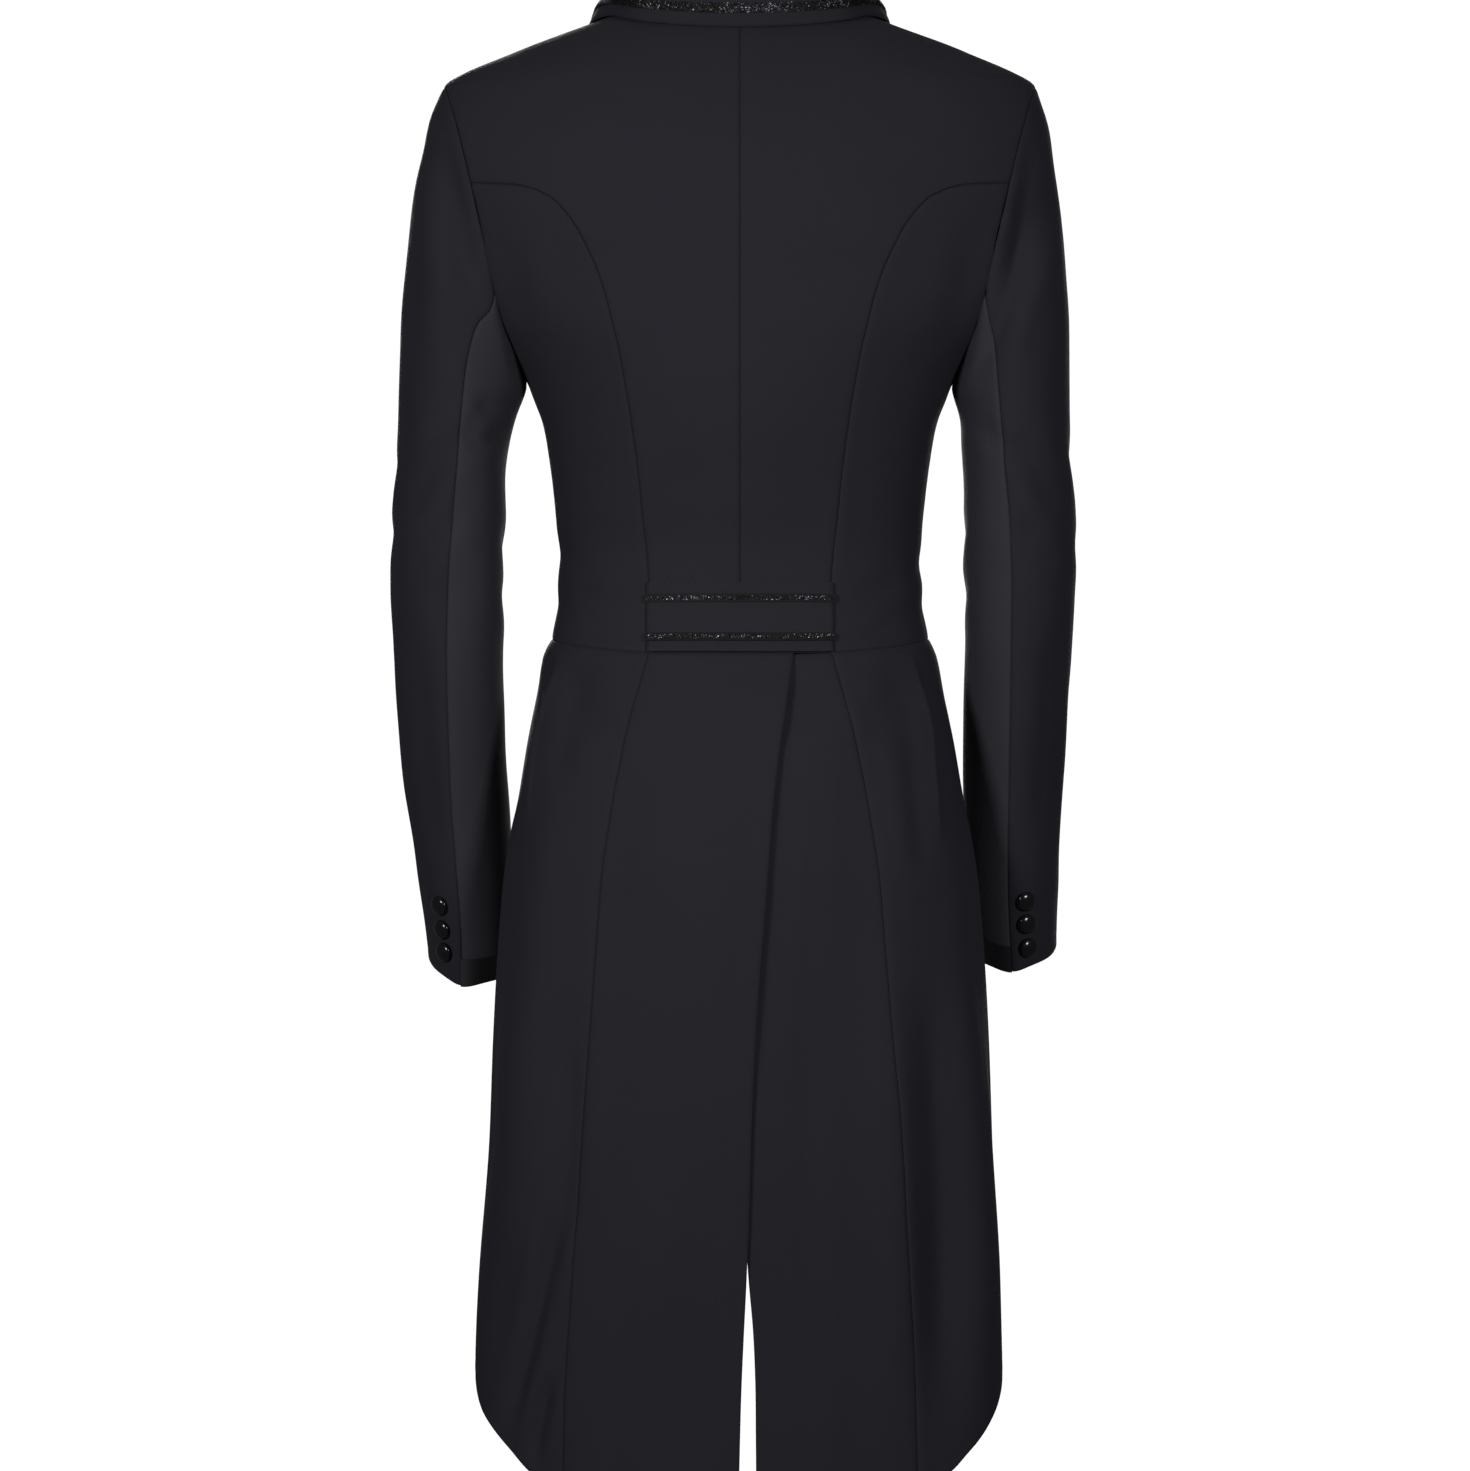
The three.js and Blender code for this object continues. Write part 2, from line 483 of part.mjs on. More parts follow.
function ringAngle(k, seamAngle) {
  const start = loopAngle[HIND_START];
  const end = loopAngle[FORE_START];
  const angle = loopAngle[k];
  if (k >= HIND_START && k <= FORE_START) return mix(seamAngle, FORE_ANGLE, (angle - start) / (end - start));
  const turned = angle >= end ? angle - 4 * QUARTER : angle;
  const span = end - 4 * QUARTER;
  return mix(seamAngle, FORE_ANGLE - 4 * QUARTER, (turned - start) / (span - start));
}
function sleeveRing(ring) {
  const middle = new THREE.Vector3((ring.outX + ring.inX) / 2, ring.midY, (ring.outZ + ring.inZ) / 2);
  const reach = new THREE.Vector3((ring.outX - ring.inX) / 2, 0, (ring.outZ - ring.inZ) / 2);
  const depth = new THREE.Vector3(0, ring.half, -ring.dip);
  const seamAngle = Math.acos((ring.seamX - middle.x) / reach.x);
  return LOOP.map((_, k) => {
    const angle = ringAngle(k, seamAngle);
    return middle.clone().addScaledVector(reach, Math.cos(angle)).addScaledVector(depth, Math.sin(angle));
  });
}
// The first ring is the armhole itself, moved clear of the body wall's cut edge.
function armholeRing(normals) {
  const middle = new THREE.Vector3();
  LOOP.forEach(({ point }) => middle.addScaledVector(point, 1 / LOOP.length));
  return LOOP.map(({ point }, k) => {
    const before = LOOP[(k + LOOP.length - 1) % LOOP.length].point;
    const after = LOOP[(k + 1) % LOOP.length].point;
    const bodyNormal = normalAt(angleOf(point), point.z);
    const outward = bodyNormal.clone().cross(after.clone().sub(before)).normalize();
    if (outward.dot(middle.clone().sub(point)) < 0) outward.negate();
    const lean = normals[k].dot(outward);
    const fold = (1 - normals[k].dot(bodyNormal)) / 2;
    return point.clone()
      .addScaledVector(outward, SEAM_GAP + Math.max(0, CLOTH * lean))
      .addScaledVector(bodyNormal, 2 * SEAM_GAP * fold);
  });
}
function sleeve(rings) {
  const loop = LOOP.map(({ point }) => point);
  const rest = rings.map(sleeveRing);
  const away = (cells) => {
    const row = cells[5];
    const middle = new THREE.Vector3();
    row.forEach(({ point }) => middle.addScaledVector(point, 1 / row.length));
    return row[0].normal.dot(row[0].point.clone().sub(middle)) > 0 ? 1 : -1;
  };
  const outward = away(gridNormals([loop, ...rest], true, 1));
  const rough = gridNormals([loop, ...rest], true, outward);
  const eased = rough[0].map(({ normal }, k) => (
    normal.clone().lerp(rough[1][k].normal, ARMHOLE_EASE).normalize()));
  const cells = gridNormals([armholeRing(eased), ...rest], true, outward);
  return [cells[0].map(({ point }, k) => ({ point, normal: eased[k] })), ...cells.slice(1)];
}
function sleevePart(cells, start, count) {
  return cells.map((row) => range(count, (t) => row[(start + Math.round(t * count)) % row.length]));
}
const underSleeve = (cells) => sleevePart(cells, HIND_START, FORE_START - HIND_START);
const topSleeve = (cells) => sleevePart(cells, FORE_START, LOOP.length - (FORE_START - HIND_START));

// ---- Pieces that lie on another piece are made from its points, moved out ----
function sample(cells, v, u) {
  const j = Math.min(Math.floor(v), cells.length - 2);
  const i = Math.min(Math.floor(u), cells[0].length - 2);
  const blend = (key) => {
    const low = cells[j][i][key].clone().lerp(cells[j][i + 1][key], u - i);
    const high = cells[j + 1][i][key].clone().lerp(cells[j + 1][i + 1][key], u - i);
    return low.lerp(high, v - j);
  };
  return { point: blend('point'), normal: blend('normal').normalize() };
}
function layOver(cells, rows, columns, lift) {
  return rows.map((v) => columns.map((u) => {
    const { point, normal } = sample(cells, v, u);
    return { point: point.addScaledVector(normal, lift), normal };
  }));
}
const whole = (cells) => cells[0].map((_, i) => i);

// ---- Collar: stand, fold and fall as one wall with a hairpin section ----
function collarSection(station, base) {
  const { point, normal, out: rimward } = base;
  const radial = new THREE.Vector3(point.x - COLLAR_AXIS.x, point.y - COLLAR_AXIS.y, 0).normalize();
  const forward = THREE.MathUtils.clamp((FULL_STAND - station.rise) / (FULL_STAND - FRONT_STAND), 0, 1);
  const away = radial.clone().lerp(normal, forward).normalize();
  const up = new THREE.Vector3(0, 0, 1);
  const inset = mix(COLLAR_FOOT.back, COLLAR_FOOT.front, forward);
  const start = point.clone().addScaledVector(rimward, inset).addScaledVector(up, SEAM_GAP);
  const foot = start.clone().addScaledVector(away, -CLOTH);
  const centre = start.clone().addScaledVector(up, Math.max(station.rise - COLLAR_FOLD, 1));
  centre.addScaledVector(away, -COLLAR_LEAN * (1 - forward));
  const arc = range(4, (t) => centre.clone()
    .addScaledVector(away, -COLLAR_FOLD * Math.cos(t * 2 * QUARTER))
    .addScaledVector(up, COLLAR_FOLD * Math.sin(t * 2 * QUARTER)));
  const stand = [foot, foot.clone().lerp(arc[0], 0.5)];
  const place = station.side === 'back' ? back : front;
  const rest = place({ x: station.edgeX, z: station.edgeZ });
  const edge = rest.clone().addScaledVector(normalAt(angleOf(rest), rest.z), LAY_GAP + CLOTH);
  const fall = FALL_STEPS.map((t) => arc[4].clone().lerp(edge, t)
    .addScaledVector(away, COLLAR_BULGE * Math.sin(2 * QUARTER * t)));
  return [...stand, ...arc, ...fall];
}
function collarBases() {
  const neck = rollLine.filter(({ z }) => z > NECK_ROLL_Z).reverse();
  const path = [...neckEdge, ...neck.slice(1)];
  return path.map((point, k) => {
    const before = k === 0 ? flip(path[1], -1) : path[k - 1];
    const after = path[Math.min(k + 1, path.length - 1)];
    const normal = normalAt(angleOf(point), point.z);
    const out = normal.clone().cross(after.clone().sub(before)).normalize();
    const inward = new THREE.Vector3(-point.x, -point.y, 40);
    return { point, normal, out: out.dot(inward) < 0 ? out.negate() : out };
  });
}
function collar() {
  const bases = collarBases();
  const halfRows = COLLAR.map((station, k) => collarSection(station, bases[k]));
  const mirrored = halfRows.slice(1).reverse().map((row) => row.map((point) => flip(point, -1)));
  const rows = [...mirrored, ...halfRows];
  const middle = gridNormals(rows, false, 1)[COLLAR.length - 1];
  const last = middle[middle.length - 1];
  return gridNormals(rows, false, last.normal.y > 0 ? 1 : -1);
}

// ---- Domed buttons, seated on a piece with their axis along its normal ----
function button(cells, v, u, { radius, height, seat }) {
  const rimHeight = height * BUTTON_SHAPE.rim;
  const dome = range(BUTTON_SHAPE.domeSteps, (t) => new THREE.Vector2(
    radius * Math.cos(t * QUARTER),
    rimHeight + (height - rimHeight) * Math.sin(t * QUARTER),
  ));
  dome[BUTTON_SHAPE.domeSteps].x = 0;
  const profile = [new THREE.Vector2(0, 0), new THREE.Vector2(radius * BUTTON_SHAPE.foot, 0), ...dome];
  const geometry = new THREE.LatheGeometry(profile, BUTTON_SHAPE.sides);
  const { point, normal } = sample(cells, v, u);
  const turn = new THREE.Quaternion().setFromUnitVectors(new THREE.Vector3(0, 1, 0), normal);
  geometry.applyQuaternion(turn);
  point.addScaledVector(normal, seat);
  geometry.translate(point.x, point.y, point.z);
  return geometry;
}

// ---- Assembly ----
const centre = dress(backCentre());
const sideBackCells = dress(sideBack());
const tailSideCells = dress(tailSide());
for (const { name, side, sleeve: rings } of SIDES) {
  const cloth = (cells) => wall(drawIn(mirror(cells, side)), CLOTH);
  add(`back_centre_${name}`, cloth(centre), FINISH.cloth);
  add(`side_back_${name}`, cloth(sideBackCells), FINISH.cloth);
  const frontCells = dress(frontPanel(), overlapLift(side));
  add(`front_${name}`, cloth(frontCells), FINISH.cloth);
  const lapelLift = (point) => overlapLift(side)(point) + LAPEL_GAP + CLOTH;
  add(`lapel_${name}`, cloth(dress(lapel(side), lapelLift)), FINISH.cloth);
  const vent = side > 0 ? OVER_VENT : UNDER_VENT;
  add(`tail_back_${name}`, cloth(dress(tailBack(vent), underLift(side))), FINISH.cloth);
  add(`tail_side_${name}`, cloth(tailSideCells), FINISH.cloth);

  const sleeveCells = sleeve(rings);
  const top = topSleeve(sleeveCells);
  const under = underSleeve(sleeveCells);
  add(`top_sleeve_${name}`, cloth(top), FINISH.cloth);
  add(`under_sleeve_${name}`, cloth(under), FINISH.underSleeve);
  const cuffRow = under.length - 1;
  const band = layOver(under, [cuffRow - CUFF_BAND, cuffRow], whole(under), CUFF_GAP + TRIM);
  add(`cuff_band_${name}`, wall(drawIn(mirror(band, side)), TRIM), FINISH.satin);
  CUFF_BUTTONS[name].forEach(({ ring, step }, k) => {
    const geometry = button(mirror(top, side), ring, top[0].length - 1 - step, CUFF_BUTTON);
    add(`cuff_button_${name}_${k + 1}`, geometry, FINISH.button);
  });
}

const collarCells = collar();
const collarRows = collarCells.map((_, j) => j);
add('collar', wall(drawIn(collarCells), CLOTH), FINISH.cloth);
const piping = layOver(collarCells, collarRows, COLLAR_PIPING, SEAM_GAP + TRIM);
add('collar_glitter', wall(drawIn(piping), TRIM), FINISH.glitter);

const beltHalf = centre.slice(0, BELT_ROWS + 1);
const beltCells = mirror(beltHalf, -1).map((row, j) => [...row.reverse(), ...beltHalf[j].slice(1)]);
const belt = layOver(beltCells, beltCells.map((_, j) => j), whole(beltCells), LAY_GAP + CLOTH);
add('belt', wall(drawIn(belt), CLOTH), FINISH.cloth);
for (const { name, low, high } of BELT_STRIPS) {
  const strip = layOver(belt, [low * BELT_ROWS, high * BELT_ROWS], whole(belt), SEAM_GAP + TRIM);
  add(`belt_glitter_${name}`, wall(drawIn(strip), TRIM), FINISH.glitter);
}

// The buttons stand on the right front, which laps over the left.
const overFront = mirror(dress(frontPanel(), overlapLift(-1)), -1);
FRONT_BUTTONS.forEach((row, k) => {
  const geometry = button(overFront, row, SHOULDER_STEPS - FRONT_BUTTON_INSET, FRONT_BUTTON);
  add(`front_button_${k + 1}`, geometry, FINISH.button);
});

export default tailcoat;
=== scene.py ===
"""Dressage tailcoat in its worn shape. Shapes are worked out in millimetres and made in metres. +Z is up, the
back faces +Y, and the wearer's left is +X."""
import math

import bpy
import numpy as np
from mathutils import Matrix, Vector


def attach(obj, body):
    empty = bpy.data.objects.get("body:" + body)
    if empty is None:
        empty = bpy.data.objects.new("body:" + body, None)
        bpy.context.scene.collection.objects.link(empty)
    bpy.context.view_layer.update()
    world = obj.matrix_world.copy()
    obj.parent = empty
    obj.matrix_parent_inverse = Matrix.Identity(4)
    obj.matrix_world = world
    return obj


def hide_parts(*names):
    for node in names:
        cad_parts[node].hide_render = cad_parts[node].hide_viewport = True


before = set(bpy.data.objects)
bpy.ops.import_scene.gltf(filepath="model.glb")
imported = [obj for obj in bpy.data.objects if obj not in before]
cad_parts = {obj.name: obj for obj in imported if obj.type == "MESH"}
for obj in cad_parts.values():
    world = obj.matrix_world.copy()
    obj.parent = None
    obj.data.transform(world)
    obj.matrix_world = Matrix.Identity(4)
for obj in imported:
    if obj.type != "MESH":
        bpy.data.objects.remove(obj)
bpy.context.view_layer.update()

join = np.concatenate
MM = 0.001
CLOTH = 2.0
TRIM = 1.0
SEAM_GAP = 0.3
LAY_GAP = 0.7
LAPEL_GAP = 0.95
CUFF_GAP = 0.6
SHOULDER_Z = -53
UNDERARM_Z = -250
WAIST_SIDE_Z = -427
WAIST_BACK_Z = -437
BELT_TOP_Z = -390
BELT_HALF = 62
HEM_Z = -1000
OVERLAP = 16
NECK_Z = 5
QUARTER = math.pi / 2
BELT_ROWS = 3
NECK_STEPS = 5
SHOULDER_STEPS = 7
SIDE_STEPS = 6
TAIL_ROWS = 16
TAIL_STEPS = 7
TAIL_FRONT_STEPS = 2
LAPEL_STEPS = 4
LAPEL_ROWS = 10
GRID = 3.7
FINE_GRID = 2.0
COLLAR_GRID = 3.4
STRIP_GRID = 1.3
SATIN_GRID = 2.5
EDGE_MARKS = (0.35, 0.9, 1.8, 3.4)
ALL_EDGES = ("left", "right", "bottom", "top")
MEETING = 0.08
HEM_POINT = 4
HEM_POINT_HALF = 12
HEM_POINT_REACH = 15
VENT_FLARE = 1.8
FLARE_WIDTH = 13
# seams and free edges: depths and widths
GROOVE = 1.25
SOFT_GROOVE = 0.5
GROOVE_WIDTH = 0.75
LIP = 0.24
LIP_PLACE = 5.5
LIP_WIDTH = 3.2
EDGE_ROUND = 0.6
EDGE_TURN = 1.5
HEM_LINE_DEPTH = 0.12
HEM_LINE_PLACE = 7
HEM_LINE_WIDTH = 1.6
DEEPEST = 1.4
TUCK = 2.3
# where an effect comes in: from none of it to all of it
UNDERARM_GROOVE = (14, 38)
UNTUCKED = (95, 125)
BODY_RELIEF_FROM_ARMHOLE = (0, 14)
SLEEVE_RELIEF_FROM_ARMHOLE = (0, 8)
RELIEF_BELOW_NECK = (13, -17)
FLARE_BELOW_WAIST = (0, 35)
FLARE_ABOVE_HEM = (60, 360)
OVERLAP_X = (76, 22)
UNDER_TAIL_X = (66, 42)
# the share of a fold's length over which each end dies away
FOLD_TAPER = 0.3
# radius, height, seat
CUFF_BUTTON = (6.8, 4.5, 0.4)
FRONT_BUTTON = (10, 5.5, 0.75)
BUTTON_SIDES = 36
# flakes in a square millimetre, and their sizes in millimetres
FLAKES_PER_AREA = 2.6
FLAKE_RADIUS = (0.26, 0.54)
FLAKE_LIFT = (0.12, 0.4)
FLAKE_TILT = 0.26
# bright flakes: their share everywhere, the most that patches add on each strip, and how large patches are
STRAY_FLAKES = 0.03
BRIGHT_COLLAR = 0.2
BRIGHT_BELT = 0.28
BRIGHT_PATCH = 26
COLLAR_SEED = 5
BELT_SEED = 9

# z, half, back, side, front
BODY = np.array([
    (8, 62, 54, -9, -64), (5, 68, 56, -8, -65), (-10, 103, 62, -6, -67), (-28, 151, 71, -4, -69),
    (SHOULDER_Z, 201, 82, -2, -76), (-80, 211, 91, 0, -87), (-100, 213, 95, 1, -94),
    (-125, 211, 98, 2, -101), (-145, 206, 100, 2, -106), (-170, 198, 101, 2, -111),
    (-195, 186, 101, 2, -114), (-216, 172, 101, 2, -115), (-231, 159, 100, 2, -115),
    (UNDERARM_Z, 146, 98, 2, -114), (-282, 134, 92, 1, -109), (-333, 126, 79, -1, -97),
    (-374, 122.8, 70, -3, -89), (-401, 124, 69, -4, -88), (-424, 127, 72, -4, -90),
    (-440, 134, 77, -2, -93), (-468, 140.5, 87, 2, -97), (-497, 146.5, 96, 6, -99),
    (-544, 153.6, 105, 12, -100), (-592, 160.5, 109, 16, -100), (-650, 165, 109, 18, -100),
    (-714, 169, 107, 20, -100), (-775, 171.5, 105, 20, -100), (-838, 175, 103, 20, -100),
    (-900, 178, 102, 20, -100), (-935, 179, 102, 20, -100), (-1010, 180, 102, 20, -100),
], float)
# x, z
BACK_SEAM = np.array([
    (62, BELT_TOP_Z), (64.5, -360), (68, -325), (72.5, -290), (78, -255), (84.5, -222), (92, -193),
    (102, -167), (113, -147), (128, -131), (146, -123.5), (164, -121.5), (182, -120.5),
], float)
# z, back, front
ARMHOLE = np.array([
    (SHOULDER_Z, 201, 201), (-56.5, 199.3, 199), (-70, 195.2, 193), (-93, 189, 183),
    (-120.5, 182, 173.5), (-145, 176.5, 167.5), (-170, 172.5, 164), (-195, 167, 160.5),
    (-216, 161, 156.5), (-234, 153.2, 151.5), (UNDERARM_Z, 146, 146),
], float)
# x, z
TAIL_SEAM = np.array([
    (BELT_HALF, WAIST_BACK_Z), (69, -462), (84, -524), (94.5, -597), (101, -690), (107, -762),
    (111, -830), (117, -911), (120, HEM_Z),
], float)
# x, z
OVER_VENT = np.array([
    (-36, WAIST_BACK_Z), (-32, -463), (-25, -512), (-21, -550), (-17, -605), (-11.6, -673),
    (-8, -741), (-6, -809), (-4.5, -853), (-1, -928), (1, HEM_Z - 6),
], float)
# x, z
UNDER_VENT = np.array([
    (-8, WAIST_BACK_Z), (-4, -560), (0, -700), (5.4, -853), (9, -895), (11, HEM_Z),
], float)
# angle, z
WAIST_FRONT = np.array([
    (90, WAIST_SIDE_Z), (104, -426), (118, -427), (140, -434), (165, -447), (175, -452),
    (190, -450),
], float)
# x, z
ROLL_LINE = np.array([
    (-OVERLAP, -292), (-7, -268), (1, -244), (9, -220), (28, -160), (45, -105), (57, -62),
    (60.5, -50), (64, -32), (67, -12), (68.2, -1.5), (68.4, 3.2), (68, 5),
], float)
# x, z
LAPEL_EDGE = np.array([
    (-11, -289), (0, -279), (11, -268), (32, -240), (63, -193), (90, -142), (103, -98),
], float)
# angle, z
TAIL_FRONT = np.array([
    (118, -427), (113, -460), (106, -510), (99, -570), (94, -640), (91, -720), (90, -800),
    (89, -870), (87, -920),
], float)
# x, z
TAIL_CORNER = np.array([
    (178.5, -920), (176.5, -940), (169, -957), (153, -977), (137, -993), (120, HEM_Z),
], float)
# rise, edgeX, edgeZ, side
COLLAR = [
    (28, 0, -17.5, "back"), (28, 25, -17, "back"), (28, 49, -15, "back"), (28, 71, -12, "back"),
    (27, 88, -7.5, "back"), (26, 99, -8.5, "back"), (24, 103, -12.5, "front"),
    (20, 107, -22, "front"), (14, 109, -36, "front"), (9, 106, -54, "front"), (6, 97, -69, "front"),
]
# outX, outZ, inX, inZ, seamX, midY, half, dip
LEFT_SLEEVE = np.array([
    (211, -75, 149, -268, 168.6, -4, 57, 0), (217, -100, 152, -279, 175.5, -4, 57, 0),
    (223.5, -142, 156, -294, 182.5, -4, 57, 0), (228.5, -190, 158.5, -312, 187, -3, 56, 1),
    (231, -245, 160, -340, 190.2, -3, 53.5, 2), (233.5, -300, 160.5, -370, 193.7, -4, 51, 5),
    (237, -352, 161, -400, 197, -7, 49, 8), (237.3, -392, 161, -427, 198.3, -13, 48, 11),
    (236.5, -435, 161, -457, 198.4, -22, 47, 13), (234, -480, 160.5, -493, 197.5, -32, 46, 13),
    (229.5, -528, 158, -535, 196, -44, 45, 13), (222.5, -575, 156, -577, 193, -55, 44, 13),
    (217.5, -612, 155, -614, 190.3, -64, 43, 13), (214, -644, 154, -648, 190, -72, 43, 15),
], float)
RIGHT_SLEEVE = np.array([
    (209.5, -79, 147.5, -268, 166.8, -4, 57, 0), (214, -108, 149.3, -279, 169.5, -4, 57, 0),
    (218.5, -147, 150.5, -295, 173, -4, 57, 0), (222.5, -193, 151.5, -314, 175.5, -3, 56, 1),
    (223.7, -247, 152, -341, 178.2, -3, 53.5, 2), (225, -302, 152.5, -370, 182, -4, 51, 5),
    (228.5, -350, 153, -398, 183.5, -7, 49, 8), (228.7, -388, 153, -424, 183.5, -13, 48, 11),
    (226.5, -432, 153, -454, 183.4, -22, 47, 13), (224, -478, 153, -490, 183, -32, 46, 13),
    (221.5, -524, 153, -531, 182.5, -44, 45, 13), (219, -568, 154, -571, 182, -55, 44, 13),
    (218, -604, 155, -606, 183, -64, 43, 13), (217.5, -637, 156, -638, 185.5, -72, 43, 13),
], float)
COLLAR_FOLD = 3.3
COLLAR_BULGE = 5
FALL_STEPS = (0.3, 0.5, 0.62, 0.77, 1)
FORE_ANGLE = math.radians(235)
CUFF_BAND = 0.46
# ring, step
CUFF_BUTTONS = {
    "left": ((12.6, 1.8), (13.05, 1.8), (13.5, 1.7)),
    "right": ((12.68, 1.5), (13.12, 1.5), (13.6, 1.5)),
}
FRONT_BUTTON_ROWS = (3, 7.5, 12)
FRONT_BUTTON_STEP = SHOULDER_STEPS - 0.75
COLLAR_PIPING = (9, 10)
BELT_STRIPS = {"lower": (0.145, 0.265), "upper": (0.717, 0.837)}


# ---- Smooth curves ----
def unit(v):
    return v / np.maximum(np.linalg.norm(v, axis=-1, keepdims=True), 1e-9)


def ease(t):
    t = np.clip(t, 0, 1)
    return t * t * (3 - 2 * t)


def fade(t, start, end):
    """From 0 at start to 1 at end; start may be the higher one."""
    return ease((t - start) / (end - start))


def mix(a, b, t):
    return a + (b - a) * t


def size_of(v):
    return np.linalg.norm(v, axis=-1)


def bell(d, width):
    return np.exp(-((d / width) ** 2))


def steps(count):
    return np.linspace(0, 1, count + 1)


def bridge(a, b, leave, arrive, s):
    """The smooth curve from a to b at share s; leave and arrive are its directions at the two ends."""
    return ((1 + 2 * s) * (1 - s) ** 2 * a + s * (1 - s) ** 2 * leave
            + s * s * (3 - 2 * s) * b - s * s * (1 - s) * arrive)


def column(rows, number):
    """A smooth curve through one column of a table, over its first column. It never overshoots its rows."""
    rows = rows[np.argsort(rows[:, 0])]
    x, y = rows[:, 0], rows[:, number]
    slope = np.diff(y) / np.diff(x)
    tangent = np.empty_like(y)
    tangent[0], tangent[-1] = slope[0], slope[-1]
    product = slope[:-1] * slope[1:]
    total = np.where(product > 0, slope[:-1] + slope[1:], 1)
    tangent[1:-1] = np.where(product > 0, 2 * product / total, 0)

    def at(t):
        t = np.clip(t, x[0], x[-1])
        i = np.clip(np.searchsorted(x, t, "right") - 1, 0, len(x) - 2)
        width = x[i + 1] - x[i]
        return bridge(y[i], y[i + 1], width * tangent[i], width * tangent[i + 1], (t - x[i]) / width)

    return at


half, back_y, side_y, front_y = (column(BODY, k) for k in (1, 2, 3, 4))


# ---- The body surface: angle 0 is the middle of the back, a quarter turn is the left side ----
def on_body(angle, z):
    angle, z = np.broadcast_arrays(np.asarray(angle, float), np.asarray(z, float))
    side = side_y(z)
    depth = np.where(np.cos(angle) > 0, back_y(z) - side, side - front_y(z))
    return np.stack([half(z) * np.sin(angle), side + depth * np.cos(angle), z], -1)


def angle_of(p):
    side = side_y(p[..., 2])
    away = p[..., 1] - side
    depth = np.where(away > 0, back_y(p[..., 2]) - side, side - front_y(p[..., 2]))
    angle = np.arctan2(p[..., 0] / half(p[..., 2]), away / depth)
    return np.where(angle < -QUARTER, angle + 4 * QUARTER, angle)


def body_normal(p):
    angle, z = angle_of(p), p[..., 2]
    across = on_body(angle + 0.01, z) - on_body(angle - 0.01, z)
    up = on_body(angle, z + 1) - on_body(angle, z - 1)
    return unit(np.cross(up, across))


def onto(p):
    return on_body(angle_of(p), p[..., 2])


def back(x, z):
    return on_body(np.arcsin(np.clip(x / half(z), -1, 1)), z)


def front(x, z):
    return on_body(2 * QUARTER - np.arcsin(np.clip(x / half(z), -1, 1)), z)


def side_at(z):
    return on_body(QUARTER, z)


# ---- Grids ----
def tangents(grid, corner):
    """Directions before and after each row, and the distances. The curve breaks where it turns by more than
    the first corner angle, wholly from the second on."""
    chord = np.linalg.norm(np.diff(grid, axis=0), axis=-1, keepdims=True)
    chord = np.maximum(chord, 1e-6)
    slope = np.diff(grid, axis=0) / chord
    into = join([slope[:1], slope])
    out = join([slope, slope[-1:]])
    d0 = join([chord[:1], chord])
    d1 = join([chord, chord[-1:]])
    smooth = (d1 * into + d0 * out) / (d0 + d1)
    turn = np.degrees(np.arccos(np.clip((unit(into) * unit(out)).sum(-1, keepdims=True), -1, 1)))
    broken = fade(turn, *corner)
    return mix(smooth, into, broken), mix(smooth, out, broken), chord


def refine_rows(grid, samples, corner):
    into, out, chord = tangents(grid, corner)
    rows = [grid[:1]]
    for k, ts in enumerate(samples):
        s = np.asarray(ts)[:, None, None]
        rows.append(bridge(grid[k], grid[k + 1], out[k] * chord[k], into[k + 1] * chord[k], s))
    return join(rows)


def sampling(grid, size, spare=0):
    """Parameters within each interval of the grid's rows, denser beside an edge of the piece."""
    lengths = size_of(np.diff(grid, axis=0)).mean(1)
    samples = []
    for k, length in enumerate(lengths):
        count = max(1, round(length / size))
        ts = list(np.arange(1, count + 1) / count)
        marks = [m / length for m in EDGE_MARKS if m < 0.7 * length]
        if k == spare and marks:
            ts = marks + [t for t in ts if t > marks[-1] + 0.5 * size / length or t == 1]
        if k == len(lengths) - 1 - spare and marks:
            ts = [t for t in ts if t < 1 - marks[-1] - 0.5 * size / length]
            ts += [1 - m for m in reversed(marks)] + [1.0]
        samples.append(sorted(set(ts)))
    return samples


def refine(grid, size=GRID, corner=(22, 45), context=False):
    """The finer grid, and where its rows and steps lie on the coarse one. With context, the first and last
    columns only guide the curve."""
    up = sampling(grid, size)
    turned = refine_rows(grid, up, corner).transpose(1, 0, 2)
    spare = 1 if context else 0
    across = sampling(turned, size, spare)
    fine = refine_rows(turned, across, corner)
    rows = join([[0.0], *[k + np.array(ts) for k, ts in enumerate(up)]])
    columns = join([[0.0], *[k + np.array(ts) for k, ts in enumerate(across)]])
    if context:
        kept = slice(len(across[0]), len(fine) - len(across[-1]))
        fine, columns = fine[kept], columns[kept] - 1
    return fine.transpose(1, 0, 2), rows, columns


def along(points, count):
    """An even run of points along a smooth curve, laid back onto the body."""
    fine = refine_rows(points[:, None], [steps(24)[1:]] * (len(points) - 1), (170, 175))[:, 0]
    run = join([[0], np.cumsum(size_of(np.diff(fine, axis=0)))])
    even = steps(count) * run[-1]
    return onto(np.stack([np.interp(even, run, fine[:, k]) for k in range(3)], -1))


def panel(left, right, bottom, top):
    """A four-sided grid on the body; left and right run upward."""
    v, u = steps(len(left) - 1)[:, None, None], steps(len(bottom) - 1)[None, :, None]
    ruled = mix(left[:, None], right[:, None], u) + mix(bottom[None], top[None], v)
    grid = onto(ruled - mix(mix(bottom[0], bottom[-1], u), mix(top[0], top[-1], u), v))
    grid[:, 0], grid[:, -1] = left, right
    grid[0], grid[-1] = bottom, top
    return grid


